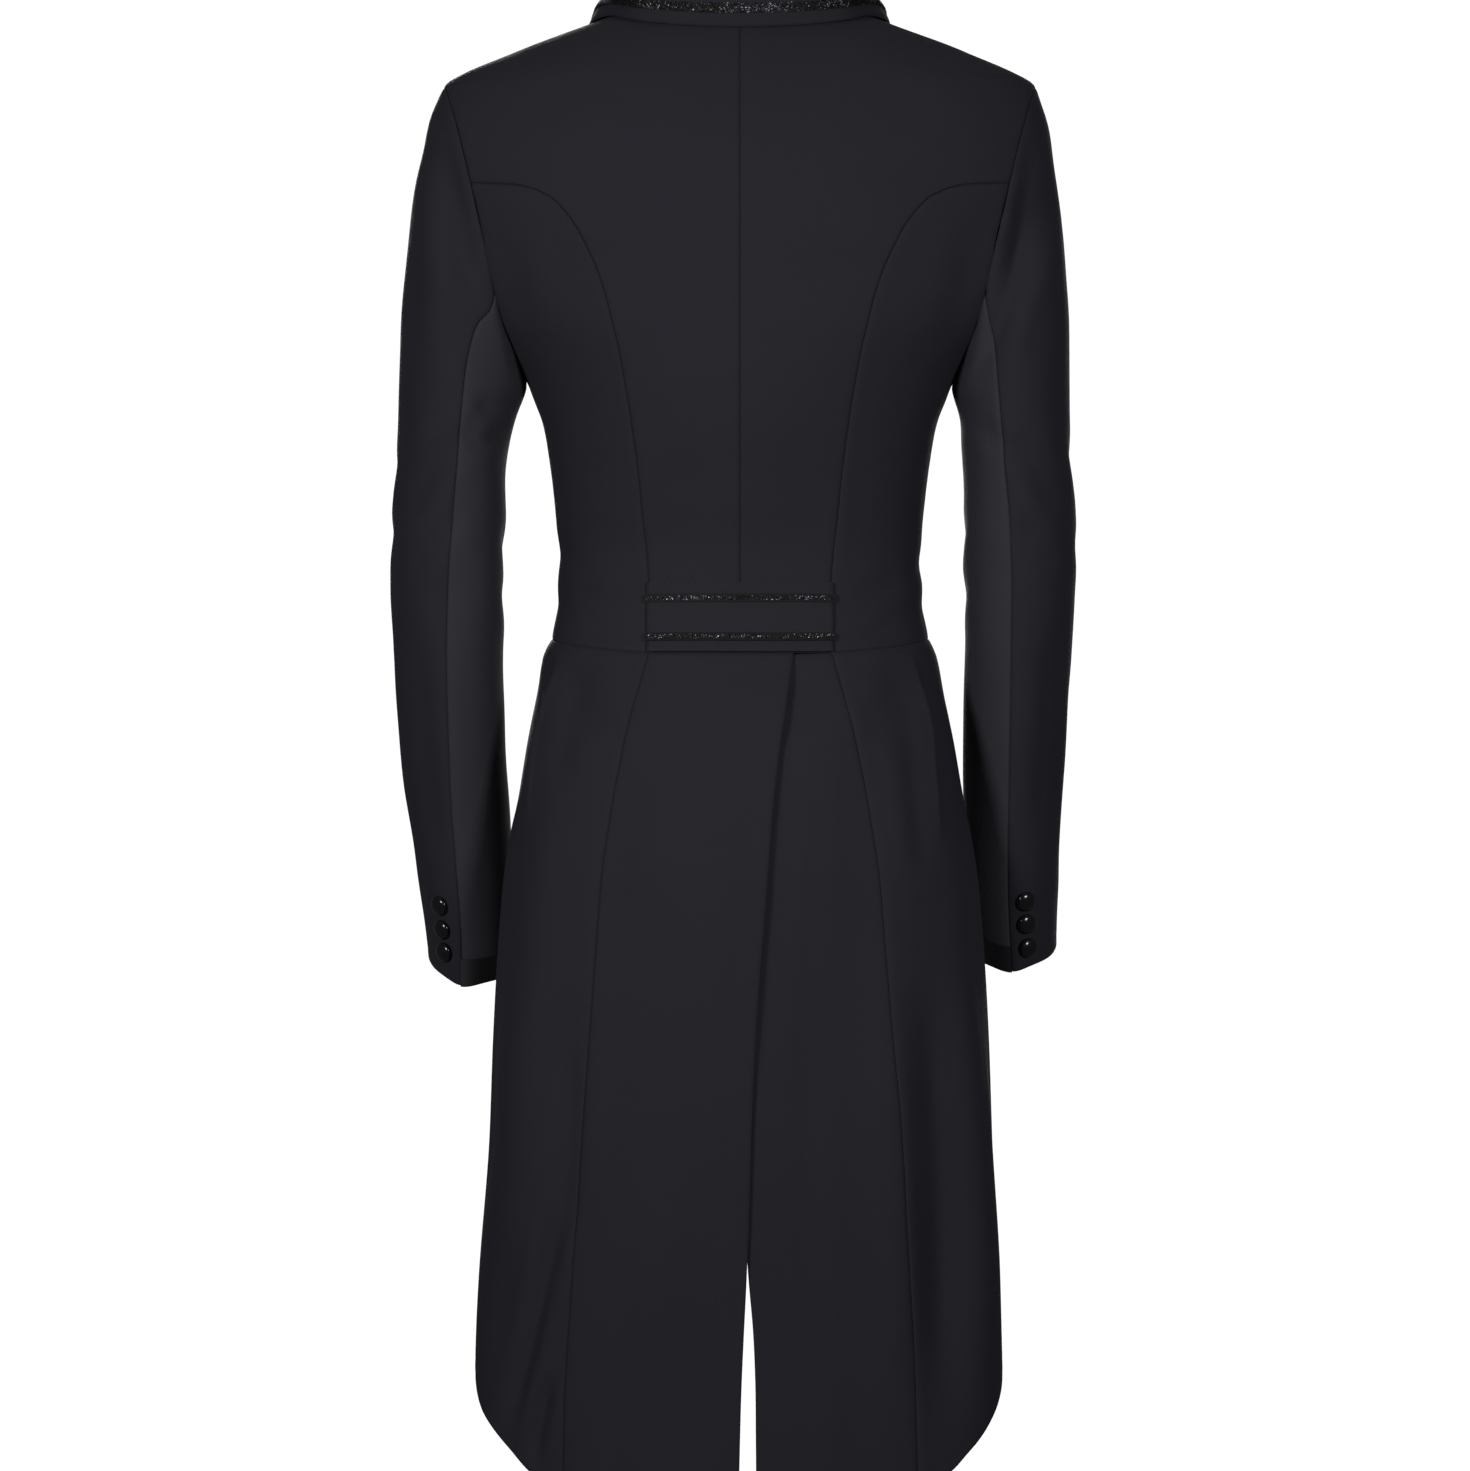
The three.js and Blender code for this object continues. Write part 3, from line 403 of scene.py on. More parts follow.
def meet(points):
    """Each edge moved out a little, so that neighbours meet."""
    moved = points.copy()

    def inward(edge, inner):
        line = unit(np.gradient(edge, axis=0))
        toward = inner - edge
        toward -= line * (toward * line).sum(-1, keepdims=True)
        return unit(toward) * MEETING

    moved[:, 0] -= inward(points[:, 0], points[:, 1])
    moved[:, -1] -= inward(points[:, -1], points[:, -2])
    moved[0] -= inward(points[0], points[1])
    moved[-1] -= inward(points[-1], points[-2])
    return moved


def grid_normals(points):
    return unit(np.cross(np.gradient(points, axis=1), np.gradient(points, axis=0)))


# ---- Seams that neighbours share ----
belt_z = mix(WAIST_BACK_Z, BELT_TOP_Z, steps(BELT_ROWS))
back_seam = join([back(BELT_HALF, belt_z), back(BACK_SEAM[1:, 0], BACK_SEAM[1:, 1])])
side_seam = side_at(mix(WAIST_SIDE_Z, UNDERARM_Z, steps(len(back_seam) - 1)))
armhole_back = back(ARMHOLE[:, 1], ARMHOLE[:, 0])
armhole_front = front(ARMHOLE[:, 2], ARMHOLE[:, 0])
junction = int(np.argmax(ARMHOLE[:, 0] == BACK_SEAM[-1, 1]))
neck_edge = on_body(steps(NECK_STEPS) * QUARTER, NECK_Z * steps(NECK_STEPS) ** 2)
shoulder = side_at(mix(NECK_Z, SHOULDER_Z, steps(SHOULDER_STEPS)))
waist_start = float(angle_of(back(BELT_HALF, WAIST_BACK_Z)))
waist_side = on_body(mix(waist_start, QUARTER, steps(SIDE_STEPS)),
                     mix(WAIST_BACK_Z, WAIST_SIDE_Z, steps(SIDE_STEPS)))
front_waist_z = column(WAIST_FRONT, 1)
roll_line = front(ROLL_LINE[:, 0], ROLL_LINE[:, 1])


def front_waist(angle):
    return on_body(angle, front_waist_z(np.degrees(angle)))


# ---- Coarse grids of the body panels, left half ----
def back_centre():
    across = steps(NECK_STEPS + SHOULDER_STEPS) * BELT_HALF
    belt = np.stack([back(across, z) for z in belt_z])
    right = join([back_seam[BELT_ROWS:], armhole_back[:junction][::-1]])
    left = back(0, mix(BELT_TOP_Z, 0, steps(len(right) - 1)))
    top = join([neck_edge, shoulder[1:]])
    return join([belt, panel(left, right, back(across, BELT_TOP_Z), top)[1:]])


def side_back():
    return panel(back_seam, side_seam, waist_side, armhole_back[junction:])


def front_panel():
    left = join([side_seam, armhole_front[:-1][::-1]])
    edge_rows = len(left) - len(roll_line)
    edge_angle = float(angle_of(roll_line[0]))
    foot = front(-OVERLAP, front_waist_z(math.degrees(edge_angle)))
    waist_angle = float(angle_of(foot))
    low = float(front_waist_z(math.degrees(waist_angle)))
    edge = front(-OVERLAP, mix(low, ROLL_LINE[0, 1], steps(edge_rows)))
    bottom = front_waist(mix(QUARTER, waist_angle, steps(SHOULDER_STEPS)))
    bottom[-1] = edge[0]
    return panel(left, join([edge, roll_line[1:]]), bottom, shoulder[::-1])


def lapel(side):
    start = 2 if side > 0 else 0
    left = along(roll_line[start:len(LAPEL_EDGE)], LAPEL_ROWS)
    right = along(front(LAPEL_EDGE[start:, 0], LAPEL_EDGE[start:, 1]), LAPEL_ROWS)
    t = steps(LAPEL_STEPS)[:, None]
    return panel(left, right, onto(mix(left[:1], right[:1], t)), onto(mix(left[-1:], right[-1:], t)))


tail_seam = along(back(TAIL_SEAM[:, 0], TAIL_SEAM[:, 1]), TAIL_ROWS)[::-1]


def tail_back(vent):
    edge = along(back(vent[:, 0], vent[:, 1]), TAIL_ROWS)[::-1]
    t = steps(TAIL_STEPS)
    top = on_body(mix(float(angle_of(edge[-1])), float(angle_of(tail_seam[-1])), t), WAIST_BACK_Z)
    return panel(edge, tail_seam, onto(mix(edge[:1], tail_seam[:1], t[:, None])), top)


def tail_side():
    edge = along(on_body(np.radians(TAIL_FRONT[:, 0]), TAIL_FRONT[:, 1]), TAIL_ROWS)[::-1]
    end = math.radians(TAIL_FRONT[0, 0])
    top = join([waist_side, front_waist(mix(QUARTER, end, steps(TAIL_FRONT_STEPS)))[1:]])
    bottom = along(back(TAIL_CORNER[:, 0], TAIL_CORNER[:, 1]), len(top) - 1)[::-1]
    bottom[0], bottom[-1] = tail_seam[0], edge[0]
    return panel(tail_seam, edge, bottom, top)


def overlap_lift(side, x):
    """The wearer's right front runs over the left one."""
    return 0 if side > 0 else (CLOTH + LAY_GAP) * fade(x, *OVERLAP_X)


def lapel_lift(side, x):
    return overlap_lift(side, x) + LAPEL_GAP + CLOTH


def under_lift(side, x):
    """The right back tail runs under the left one."""
    return 0 if side > 0 else -(CLOTH + LAY_GAP) * fade(x, *UNDER_TAIL_X)


# ---- Sleeves ----
loop = join([armhole_back[:-1], armhole_front[::-1][:-1]])
LOOP_ROWS = len(ARMHOLE) - 1
HIND_START = int(np.argmax(ARMHOLE[:, 0] == -195))
FORE_START = 2 * LOOP_ROWS - HIND_START
UNDER_STEPS = FORE_START - HIND_START
TOP_STEPS = len(loop) - UNDER_STEPS
loop_middle, loop_half = (SHOULDER_Z + UNDERARM_Z) / 2, (SHOULDER_Z - UNDERARM_Z) / 2
loop_angle = np.arccos(np.clip((loop[:, 2] - loop_middle) / loop_half, -1, 1))
loop_angle[LOOP_ROWS + 1:] = 4 * QUARTER - loop_angle[LOOP_ROWS + 1:]


def ring_angles(seam_angle):
    begin, end = loop_angle[HIND_START], loop_angle[FORE_START]
    turned = np.where(loop_angle >= end, loop_angle - 4 * QUARTER, loop_angle)
    upper = mix(seam_angle, FORE_ANGLE - 4 * QUARTER, (turned - begin) / (end - 4 * QUARTER - begin))
    lower = mix(seam_angle, FORE_ANGLE, (loop_angle - begin) / (end - begin))
    index = np.arange(len(loop))
    return np.where((index >= HIND_START) & (index <= FORE_START), lower, upper)


def sleeve_ring(ring):
    out_x, out_z, in_x, in_z, seam_x, mid_y, depth, dip = ring
    middle = np.array([(out_x + in_x) / 2, mid_y, (out_z + in_z) / 2])
    reach = np.array([(out_x - in_x) / 2, 0, (out_z - in_z) / 2])
    angle = ring_angles(math.acos((seam_x - middle[0]) / reach[0]))[:, None]
    return middle + reach * np.cos(angle) + np.array([0, depth, -dip]) * np.sin(angle)


def armhole_ring(normals):
    """The armhole itself, moved clear of the body wall's cut edge, but tucked into the wall below the arm."""
    middle = loop.mean(0)
    along_loop = np.roll(loop, -1, 0) - np.roll(loop, 1, 0)
    flat = body_normal(loop)
    outward = unit(np.cross(flat, along_loop))
    outward *= np.where((outward * (middle - loop)).sum(-1, keepdims=True) < 0, -1, 1)
    lean = (normals * outward).sum(-1, keepdims=True)
    fold = (1 - (normals * flat).sum(-1, keepdims=True)) / 2
    below = 1 - fade(size_of(loop - side_at(UNDERARM_Z)), *UNTUCKED)[:, None]
    clear = mix(0.1 + 0.35 * np.maximum(0, CLOTH * lean), -TUCK, below)
    return loop + outward * clear + flat * (SEAM_GAP * fold)


def sleeve(table):
    """The rings of a whole sleeve, from the armhole down to the cuff."""
    rings = join([loop[None], np.stack([sleeve_ring(ring) for ring in table])])
    across = np.roll(rings, -1, 1) - np.roll(rings, 1, 1)
    normals = unit(np.cross(across, np.gradient(rings, axis=0)))
    if (normals[5, 0] * (rings[5, 0] - rings[5].mean(0))).sum() < 0:
        normals = -normals
    rings[0] = armhole_ring(unit(mix(normals[0], normals[1], 0.6)))
    return rings


def sleeve_part(rings, first, count):
    """The part's columns, with one more on each side to guide the curve."""
    return rings[:, [(first - 1 + k) % len(loop) for k in range(count + 3)]]


# ---- Collar: stand, fold and fall ----
def collar_grid():
    neck = roll_line[roll_line[:, 2] > -55][::-1]
    path = join([neck_edge, neck[1:]])
    before = join([path[1:2] * [-1, 1, 1], path[:-1]])
    after = join([path[1:], path[-1:]])
    normal = body_normal(path)
    out = unit(np.cross(normal, after - before))
    inward = path * [-1, -1, 0] + [0, 0, 40]
    out *= np.where((out * inward).sum(-1, keepdims=True) < 0, -1, 1)
    up = np.array([0, 0, 1.0])
    rows = []
    for (rise, edge_x, edge_z, face), point, n, o in zip(COLLAR, path, normal, out):
        forward = min(1, max(0, (26 - rise) / 20))
        away = unit(mix(unit(np.array([point[0], point[1] + 5, 0])), n, forward))
        start = point + o * mix(0.5, 1.4, forward) + up * SEAM_GAP
        foot = start - away * CLOTH
        centre = start + up * max(rise - COLLAR_FOLD, 1) - away * 2 * (1 - forward)
        turn = steps(4)[:, None] * 2 * QUARTER
        arc = centre - away * COLLAR_FOLD * np.cos(turn) + up * COLLAR_FOLD * np.sin(turn)
        rest = (back if face == "back" else front)(edge_x, edge_z)
        edge = rest + body_normal(rest) * (LAY_GAP + CLOTH)
        t = np.array(FALL_STEPS)[:, None]
        fall = mix(arc[4], edge, t) + away * COLLAR_BULGE * np.sin(2 * QUARTER * t)
        rows.append(join([foot[None], mix(foot, arc[0], 0.5)[None], arc, fall]))
    rows = np.stack(rows)
    return join([rows[:0:-1] * [-1, 1, 1], rows])


# ---- Folds of the worn cloth ----
def ripple(p, length, seed, count=7):
    """Seeded waves of about that length through space, from -1 to 1."""
    rng = np.random.default_rng(seed)
    total = np.zeros(p.shape[:-1])
    for _ in range(count):
        direction = unit(rng.normal(size=3))
        wave = 2 * math.pi / (length * rng.uniform(0.7, 1.4))
        total += np.sin(p @ direction * wave + rng.uniform(0, 2 * math.pi))
    return total / math.sqrt(count) / 1.6


def stroke(flat, points):
    """Signed distance to a broken line, and how far along it the nearest place is, from 0 to 1."""
    points = np.array(points, float)
    lengths = size_of(np.diff(points, axis=0))
    best = np.full(flat.shape[:-1], 1e9)
    signed, share = np.zeros_like(best), np.zeros_like(best)
    run = 0.0
    for a, b, length in zip(points[:-1], points[1:], lengths):
        line = (b - a) / length
        t = np.clip((flat - a) @ line, 0, length)
        offset = flat - (a + t[..., None] * line)
        distance = size_of(offset)
        side = np.sign(line[0] * offset[..., 1] - line[1] * offset[..., 0])
        near = distance < best
        best = np.where(near, distance, best)
        signed = np.where(near, distance * side, signed)
        share = np.where(near, (run + t) / lengths.sum(), share)
        run += length
    return signed, share


# the coordinates that a face shows, its direction, and how far cloth turns to it for no and for full folds
FACES = {
    "back": ((0, 2), (0, 1, 0), 0.05, 0.35),
    "hip": ((0, 2), (0, 1, 0), -0.25, 0),
    "front": ((0, 2), (0, -1, 0), 0.05, 0.35),
    "left": ((1, 2), (1, 0, 0), 0.05, 0.35),
    "right": ((1, 2), (-1, 0, 0), 0.05, 0.35),
}


def fold_shape(kind, d, width):
    """The section across a fold. A pleat drops beyond its line, where d is above 0."""
    if kind == "trough":
        return 0.35 * bell(abs(d) - 2 * width, width) - bell(d, width)
    if kind == "ridge":
        return bell(d, width) - 0.25 * bell(abs(d) - 2.2 * width, width)
    sunk = 0.5 + 0.5 * np.tanh(d / 1.1)
    lip = 0.75 * bell(d, 1.9) + 0.3 * (1 - sunk) * bell(d, width)
    return lip - sunk * bell(d, 2.5 * width)


def folds(p, normals, table):
    """Height of the folds at each point: each is seen from one face, and fades as the cloth turns away."""
    height = np.zeros(p.shape[:-1])
    for row in table:
        if isinstance(row, str):
            face, kind = row.split()
            axes, toward, none, full = FACES[face]
            facing = fade(normals @ np.array(toward, float), none, full)
            continue
        depth, width, *points = row
        d, t = stroke(p[..., list(axes)], points)
        taper = ease(t / FOLD_TAPER) * ease((1 - t) / FOLD_TAPER)
        height += depth * taper * facing * fold_shape(kind, d, width)
    return height


# under each face and kind: depth, width, and the points of the fold's line as that face shows them
BODY_FOLDS = [
    "hip pleat",  # on the side tails, from the waist seam down
    (3.6, 6, (123, -433), (125, -445), (131, -466), (138.5, -492), (143.5, -531), (147, -565)),
    (2.8, 7, (-137, -570), (-133.5, -531), (-130, -488), (-124, -462), (-118, -442), (-116, -433)),
    "back trough",
    # beside the hip pleats
    (2.2, 12, (118, -440), (108, -462), (100, -500)), (2.0, 12, (-120, -446), (-106, -462), (-96, -505)),
    (1.5, 8, (110, -446), (117, -480), (124, -535)),
    (2.0, 8, (-107, -446), (-114, -480), (-119, -540), (-124, -600)),
    # tails
    (2.0, 8, (110, -700), (114, -760), (120, -840)),
    (4.0, 6, (119, -800), (131, -856), (145, -915), (158, -966)),
    (2.8, 5, (128, -918), (134, -948), (141, -990)), (6.5, 15, (-128, -640), (-135, -760), (-142, -975)),
    (1.4, 15, (60, -560), (58, -700), (66, -880)), (1.1, 13, (-52, -640), (-48, -790), (-50, -960)),
    # back of the waist
    (0.8, 7, (112, -392), (98, -402), (76, -404)), (0.7, 6, (112, -414), (96, -419), (78, -416)),
    (0.9, 8, (-112, -384), (-96, -397), (-74, -401)), (0.7, 6, (-112, -412), (-94, -421), (-76, -424)),
    (0.9, 14, (30, -300), (42, -340), (50, -380)), (0.8, 13, (-34, -280), (-40, -330), (-52, -372)),
    # shoulder blades and armholes
    (1.3, 10, (163, -150), (152, -190), (140, -238)), (1.5, 10, (-160, -140), (-152, -185), (-138, -240)),
    (0.9, 9, (150, -78), (120, -62), (86, -50)), (0.8, 10, (-146, -84), (-118, -70), (-90, -60)),
    "back ridge",
    # tails
    (1.8, 16, (150, -640), (152, -760), (158, -880)), (1.8, 12, (-166, -700), (-168, -800), (-170, -900)),
    (2.6, 16, (-96, -560), (-100, -760), (-108, -960)), (1.2, 15, (22, -520), (20, -680), (24, -850)),
    # shoulder blades and armholes
    (1.8, 42, (90, -105), (82, -175)), (1.6, 40, (-88, -110), (-84, -180)),
    "left trough",
    (2.6, 15, (25, -500), (34, -640), (30, -860)), (0.9, 8, (-70, -352), (-20, -368), (40, -372)),
    (0.7, 7, (-52, -396), (-6, -405), (44, -402)),
    "left ridge",
    (1.8, 16, (62, -560), (66, -700), (60, -900)), (0.8, 10, (50, -266), (-50, -266)),
    "right trough",
    (2.2, 14, (20, -480), (38, -660), (44, -830)), (0.9, 8, (-66, -360), (-14, -377), (34, -374)),
    (0.7, 7, (-40, -392), (8, -408), (50, -408)),
    "right ridge",
    (2.0, 17, (64, -540), (70, -720), (74, -880)), (0.8, 10, (50, -266), (-50, -266)),
    "front trough",
    (1.7, 9, (-4, -310), (38, -322), (84, -348), (112, -372)),
    (1.2, 8, (-2, -330), (34, -352), (70, -386)), (1.4, 8, (2, -372), (46, -384), (92, -396)),
    (1.5, 9, (-10, -314), (-48, -330), (-90, -352), (-116, -380)),
    (1.0, 8, (-14, -344), (-52, -366), (-84, -388)), (1.3, 8, (-12, -392), (-50, -399), (-98, -404)),
    (1.6, 10, (152, -170), (136, -190), (116, -200)), (1.3, 10, (-150, -160), (-136, -184), (-118, -200)),
    (1.1, 9, (140, -92), (120, -112), (108, -146)), (1.2, 9, (-143, -98), (-124, -116), (-112, -152)),
    "front ridge",
    (5.5, 44, (78, -170), (72, -222)), (5.2, 44, (-78, -172), (-73, -224)),
]
UNDER_TAIL_FOLDS = [
    "back trough",
    (2.4, 7, (-42, -437), (-37, -465), (-33, -505)),
    (2.6, 7, (-38, -455), (-30, -540), (-22, -640), (-14, -760)),
]
LEFT_SLEEVE_FOLDS = [
    "back trough",
    (1.7, 6, (164, -262), (178, -279), (188, -300)), (1.4, 5, (162, -288), (174, -297), (186, -296)),
    (2.4, 9, (192, -286), (211, -318), (229, -352)), (1.9, 8, (190, -338), (209, -364), (228, -384)),
    (2.0, 9, (224, -400), (216, -500), (205, -590)),
    (3.6, 9, (204, -84), (197, -116), (192, -142), (188, -168), (183, -190), (176, -210)),
    "back ridge",
    (1.6, 9, (174, -268), (182, -282), (186, -290)), (1.4, 11, (214, -110), (206, -180), (203, -250)),
    (1.3, 13, (196, -420), (195, -510), (190, -600)),
    "left trough",
    (1.9, 11, (-36, -120), (-30, -200), (-34, -290)), (1.3, 9, (14, -300), (-18, -325), (-44, -332)),
    (1.1, 8, (8, -348), (-22, -364), (-50, -366)), (1.3, 10, (-20, -430), (-44, -500), (-60, -590)),
    "front trough",
    (2.6, 7, (166, -338), (196, -330), (226, -322)), (3.0, 8, (164, -366), (194, -358), (230, -356)),
    (2.3, 7, (168, -396), (198, -390), (228, -378)), (1.7, 8, (170, -430), (192, -424), (214, -428)),
    (1.6, 10, (172, -215), (190, -236), (206, -270)),
    "right ridge",
    (1.8, 10, (60, -256), (0, -260), (-60, -256)),
    "right trough",
    (1.1, 8, (18, -350), (-14, -370), (-44, -378)), (1.0, 8, (10, -392), (-20, -405), (-52, -408)),
]
RIGHT_SLEEVE_FOLDS = [
    "back trough",
    (1.5, 6, (-158, -276), (-168, -290), (-178, -304)),
    (2.4, 9, (-184, -284), (-202, -316), (-220, -346)),
    (2.0, 8, (-184, -346), (-200, -368), (-220, -382)),
    (1.6, 12, (-206, -120), (-200, -190), (-196, -262)),
    (1.8, 9, (-215, -410), (-208, -500), (-202, -580)),
    (5.2, 9, (-204, -84), (-197, -118), (-191, -145), (-187, -170),
     (-180, -198), (-168, -234), (-158, -262)),
    (3.6, 11, (-224, -108), (-208, -138), (-192, -168), (-178, -200)),
    "back ridge",
    (1.3, 13, (-188, -410), (-186, -500), (-186, -585)),
    "right trough",
    (1.8, 11, (-32, -130), (-28, -210), (-36, -280)), (1.3, 9, (16, -288), (-16, -318), (-46, -330)),
    (1.1, 8, (6, -356), (-24, -372), (-50, -370)), (1.4, 10, (-24, -440), (-46, -510), (-62, -600)),
    "front trough",
    (2.5, 7, (-160, -330), (-190, -326), (-216, -312)),
    (3.1, 8, (-158, -360), (-188, -352), (-220, -346)),
    (2.2, 7, (-162, -388), (-190, -384), (-218, -372)),
    (1.6, 8, (-164, -424), (-184, -420), (-206, -420)),
    (1.5, 10, (-166, -220), (-182, -244), (-196, -276)),
    "left ridge",
    (1.8, 10, (60, -256), (0, -260), (-60, -256)),
    "left trough",
    (1.1, 8, (16, -344), (-14, -362), (-46, -372)), (1.0, 8, (12, -388), (-18, -400), (-50, -402)),
]


armhole_line = join([loop, loop * [-1, 1, 1]])


def from_armhole(p):
    flat = p.reshape(-1, 3)
    nearest = np.full(len(flat), 1e9)
    for point in armhole_line:
        nearest = np.minimum(nearest, size_of(flat - point))
    return nearest.reshape(p.shape[:-1])


def body_relief(p, normals):
    """Folds on slow waves, which are long and upright in the tails."""
    strength = fade(from_armhole(p), *BODY_RELIEF_FROM_ARMHOLE) * fade(p[..., 2], *RELIEF_BELOW_NECK)
    upper = ripple(p * [1, 1, 0.8], 75, 3) * 0.55
    lower = ripple(p * [1.3, 1.3, 0.22], 70, 5) * 1.5
    waves = mix(upper, lower, fade(p[..., 2], WAIST_BACK_Z, WAIST_BACK_Z - 160))
    return strength * (waves + folds(p, normals, BODY_FOLDS))


def sleeve_relief(p, normals, table, seed):
    strength = fade(from_armhole(p), *SLEEVE_RELIEF_FROM_ARMHOLE)
    return strength * (ripple(p * [1, 1, 0.9], 60, seed) * 0.7 + folds(p, normals, table))


def cloth_lengths(points):
    """Distance along the cloth from the grid's low step and its low row to each point."""
    across = size_of(np.diff(points, axis=1))
    up = size_of(np.diff(points, axis=0))
    u = join([np.zeros((len(points), 1)), np.cumsum(across, 1)], 1)
    v = join([np.zeros((1, points.shape[1])), np.cumsum(up, 0)], 0)
    return u, v


def cloth_uv(points):
    u, v = cloth_lengths(points)
    return np.stack([u - u[:, points.shape[1] // 2][:, None], v.mean(1)[:, None] + 0 * u], -1)


def edge_relief(points, free=(), soft=()):
    """Seams sink in a narrow groove between two swollen lips; free edges are turned and rounded.
    At the underarm the groove fades out, so that the sleeve and the body meet."""
    underarm = size_of(np.abs(points) - np.abs(side_at(UNDERARM_Z)))
    open_seam = fade(underarm, *UNDERARM_GROOVE)
    u, v = cloth_lengths(points)
    height = np.zeros(u.shape)
    for name, d in zip(ALL_EDGES, (u, u[:, -1:] - u, v, v[-1:] - v)):
        if name in free:
            height -= EDGE_ROUND * (1 - ease(d / EDGE_TURN))
            height -= HEM_LINE_DEPTH * bell(d - HEM_LINE_PLACE, HEM_LINE_WIDTH)
        else:
            pucker = ripple(points, 13, 11) * 0.15 * np.exp(-d / 7)
            groove = open_seam * (SOFT_GROOVE if name in soft else GROOVE) * np.exp(-d / GROOVE_WIDTH)
            height += LIP * bell(d - LIP_PLACE, LIP_WIDTH) + pucker - groove
    return np.maximum(height, -DEEPEST)


# ---- Meshes ----
def mesh_object(name, points, faces, finish, uv=None, smooth=None, sharp=None):
    mesh = bpy.data.meshes.new(name)
    mesh.from_pydata((points * MM).tolist(), [], faces)
    mesh.polygons.foreach_set("use_smooth", [True] * len(faces) if smooth is None else smooth)
    if sharp is not None:
        pairs = np.empty(len(mesh.edges) * 2, int)
        mesh.edges.foreach_get("vertices", pairs)
        ring = sharp[pairs.reshape(-1, 2)]
        flag = mesh.attributes.new("sharp_edge", "BOOLEAN", "EDGE")
        flag.data.foreach_set("value", ((ring[:, 0] == ring[:, 1]) & (ring[:, 0] > 0)).tolist())
    if uv is not None:
        corner = np.empty(len(mesh.loops), int)
        mesh.loops.foreach_get("vertex_index", corner)
        mesh.uv_layers.new(name="cloth").data.foreach_set("uv", uv[corner].astype(np.float32).ravel())
    mesh.materials.append(finish)
    mesh.update()
    obj = bpy.data.objects.new(name, mesh)
    bpy.context.scene.collection.objects.link(obj)
    return obj


def shell(name, outer, normals, thickness, finish, base=None):
    """A closed wall. The grid is its outer face. The inner face lies inside base, before the seams dip."""
    base = outer if base is None else base
    rows, columns = outer.shape[:2]
    inner = base - normals * thickness
    index = np.arange(rows * columns).reshape(rows, columns)
    a, b, c, d = index[:-1, :-1], index[:-1, 1:], index[1:, 1:], index[1:, :-1]
    quads = np.stack([a, b, c, d], -1).reshape(-1, 4)
    inside = quads[:, ::-1] + rows * columns
    border = join([index[0, :-1], index[:-1, -1], index[-1, :0:-1], index[:0:-1, 0]])
    after = np.roll(border, -1)
    rim = np.stack([after, border, border + rows * columns, after + rows * columns], -1)
    faces = join([quads, inside, rim])
    points = join([outer.reshape(-1, 3), inner.reshape(-1, 3)])
    j, i = rows // 2, columns // 2
    if np.cross(outer[j, i + 1] - outer[j, i], outer[j + 1, i] - outer[j, i]) @ normals[j, i] < 0:
        faces = faces[:, ::-1]
    ring = np.zeros(len(points), int)
    ring[border], ring[border + rows * columns] = 1, 2
    uv = join([cloth_uv(base).reshape(-1, 2)] * 2)
    return mesh_object(name, points, faces.tolist(), finish, uv, sharp=ring)


# ---- Materials ----
def feed(tree, target, inputs):
    """Inputs by name or number: an output is linked to it, and anything else is its value."""
    for key, value in inputs.items():
        if isinstance(value, bpy.types.NodeSocket):
            tree.links.new(value, target.inputs[key])
        else:
            target.inputs[key].default_value = value


def node(tree, kind, inputs=None, out=0, **options):
    """Adds a node and gives one of its outputs."""
    new = tree.nodes.new(kind)
    for key, value in options.items():
        setattr(new, key, value)
    feed(tree, new, inputs or {})
    return new.outputs[out]


def shader(name, inputs):
    material = bpy.data.materials.new(name)
    material.use_nodes = True
    tree = material.node_tree
    bsdf = tree.nodes["Principled BSDF"]
    feed(tree, bsdf, inputs)
    return material, tree, bsdf


def twill(name, dark, light):
    """Worsted twill: fine diagonal ribs, a faint fleck, and slow changes of tone."""
    material, tree, bsdf = shader(name, {
        "Roughness": 0.78, "Specular IOR Level": 0.15,
        "Sheen Weight": 0.02, "Sheen Roughness": 0.45, "Sheen Tint": (0.75, 0.76, 0.85, 1),
    })
    cloth = node(tree, "ShaderNodeUVMap", uv_map="cloth")
    place = node(tree, "ShaderNodeTexCoord", out="Object")
    ribs = node(tree, "ShaderNodeTexWave", {
        "Vector": cloth, "Scale": 0.55, "Distortion": 1.2, "Detail": 2.0, "Detail Scale": 2.0,
    }, "Fac", wave_type="BANDS", bands_direction="DIAGONAL")
    noise = "ShaderNodeTexNoise"
    fleck = node(tree, noise, {"Vector": cloth, "Scale": 1.4, "Detail": 3.0, "Roughness": 0.7}, "Fac")
    tone = node(tree, noise, {"Vector": place, "Scale": 9.0, "Detail": 3.0, "Roughness": 0.55}, "Fac")
    half_tone = node(tree, "ShaderNodeMath", {0: tone, 1: 0.5}, operation="MULTIPLY")
    weight = node(tree, "ShaderNodeMath", {0: fleck, 1: 0.5, 2: half_tone}, operation="MULTIPLY_ADD")
    shade = node(tree, "ShaderNodeMixRGB", {0: weight, 1: (*dark, 1), 2: (*light, 1)})
    height = node(tree, "ShaderNodeMath", {0: ribs, 1: 0.6, 2: fleck}, operation="MULTIPLY_ADD")
    bump = node(tree, "ShaderNodeBump", {"Strength": 0.35, "Distance": 0.0004, "Height": height}, "Normal")
    feed(tree, bsdf, {"Base Color": shade, "Normal": bump})
    return material


def plain(name, colour, rough, shine):
    return shader(name, {"Base Color": (*colour, 1), "Roughness": rough, "Specular IOR Level": shine})[0]


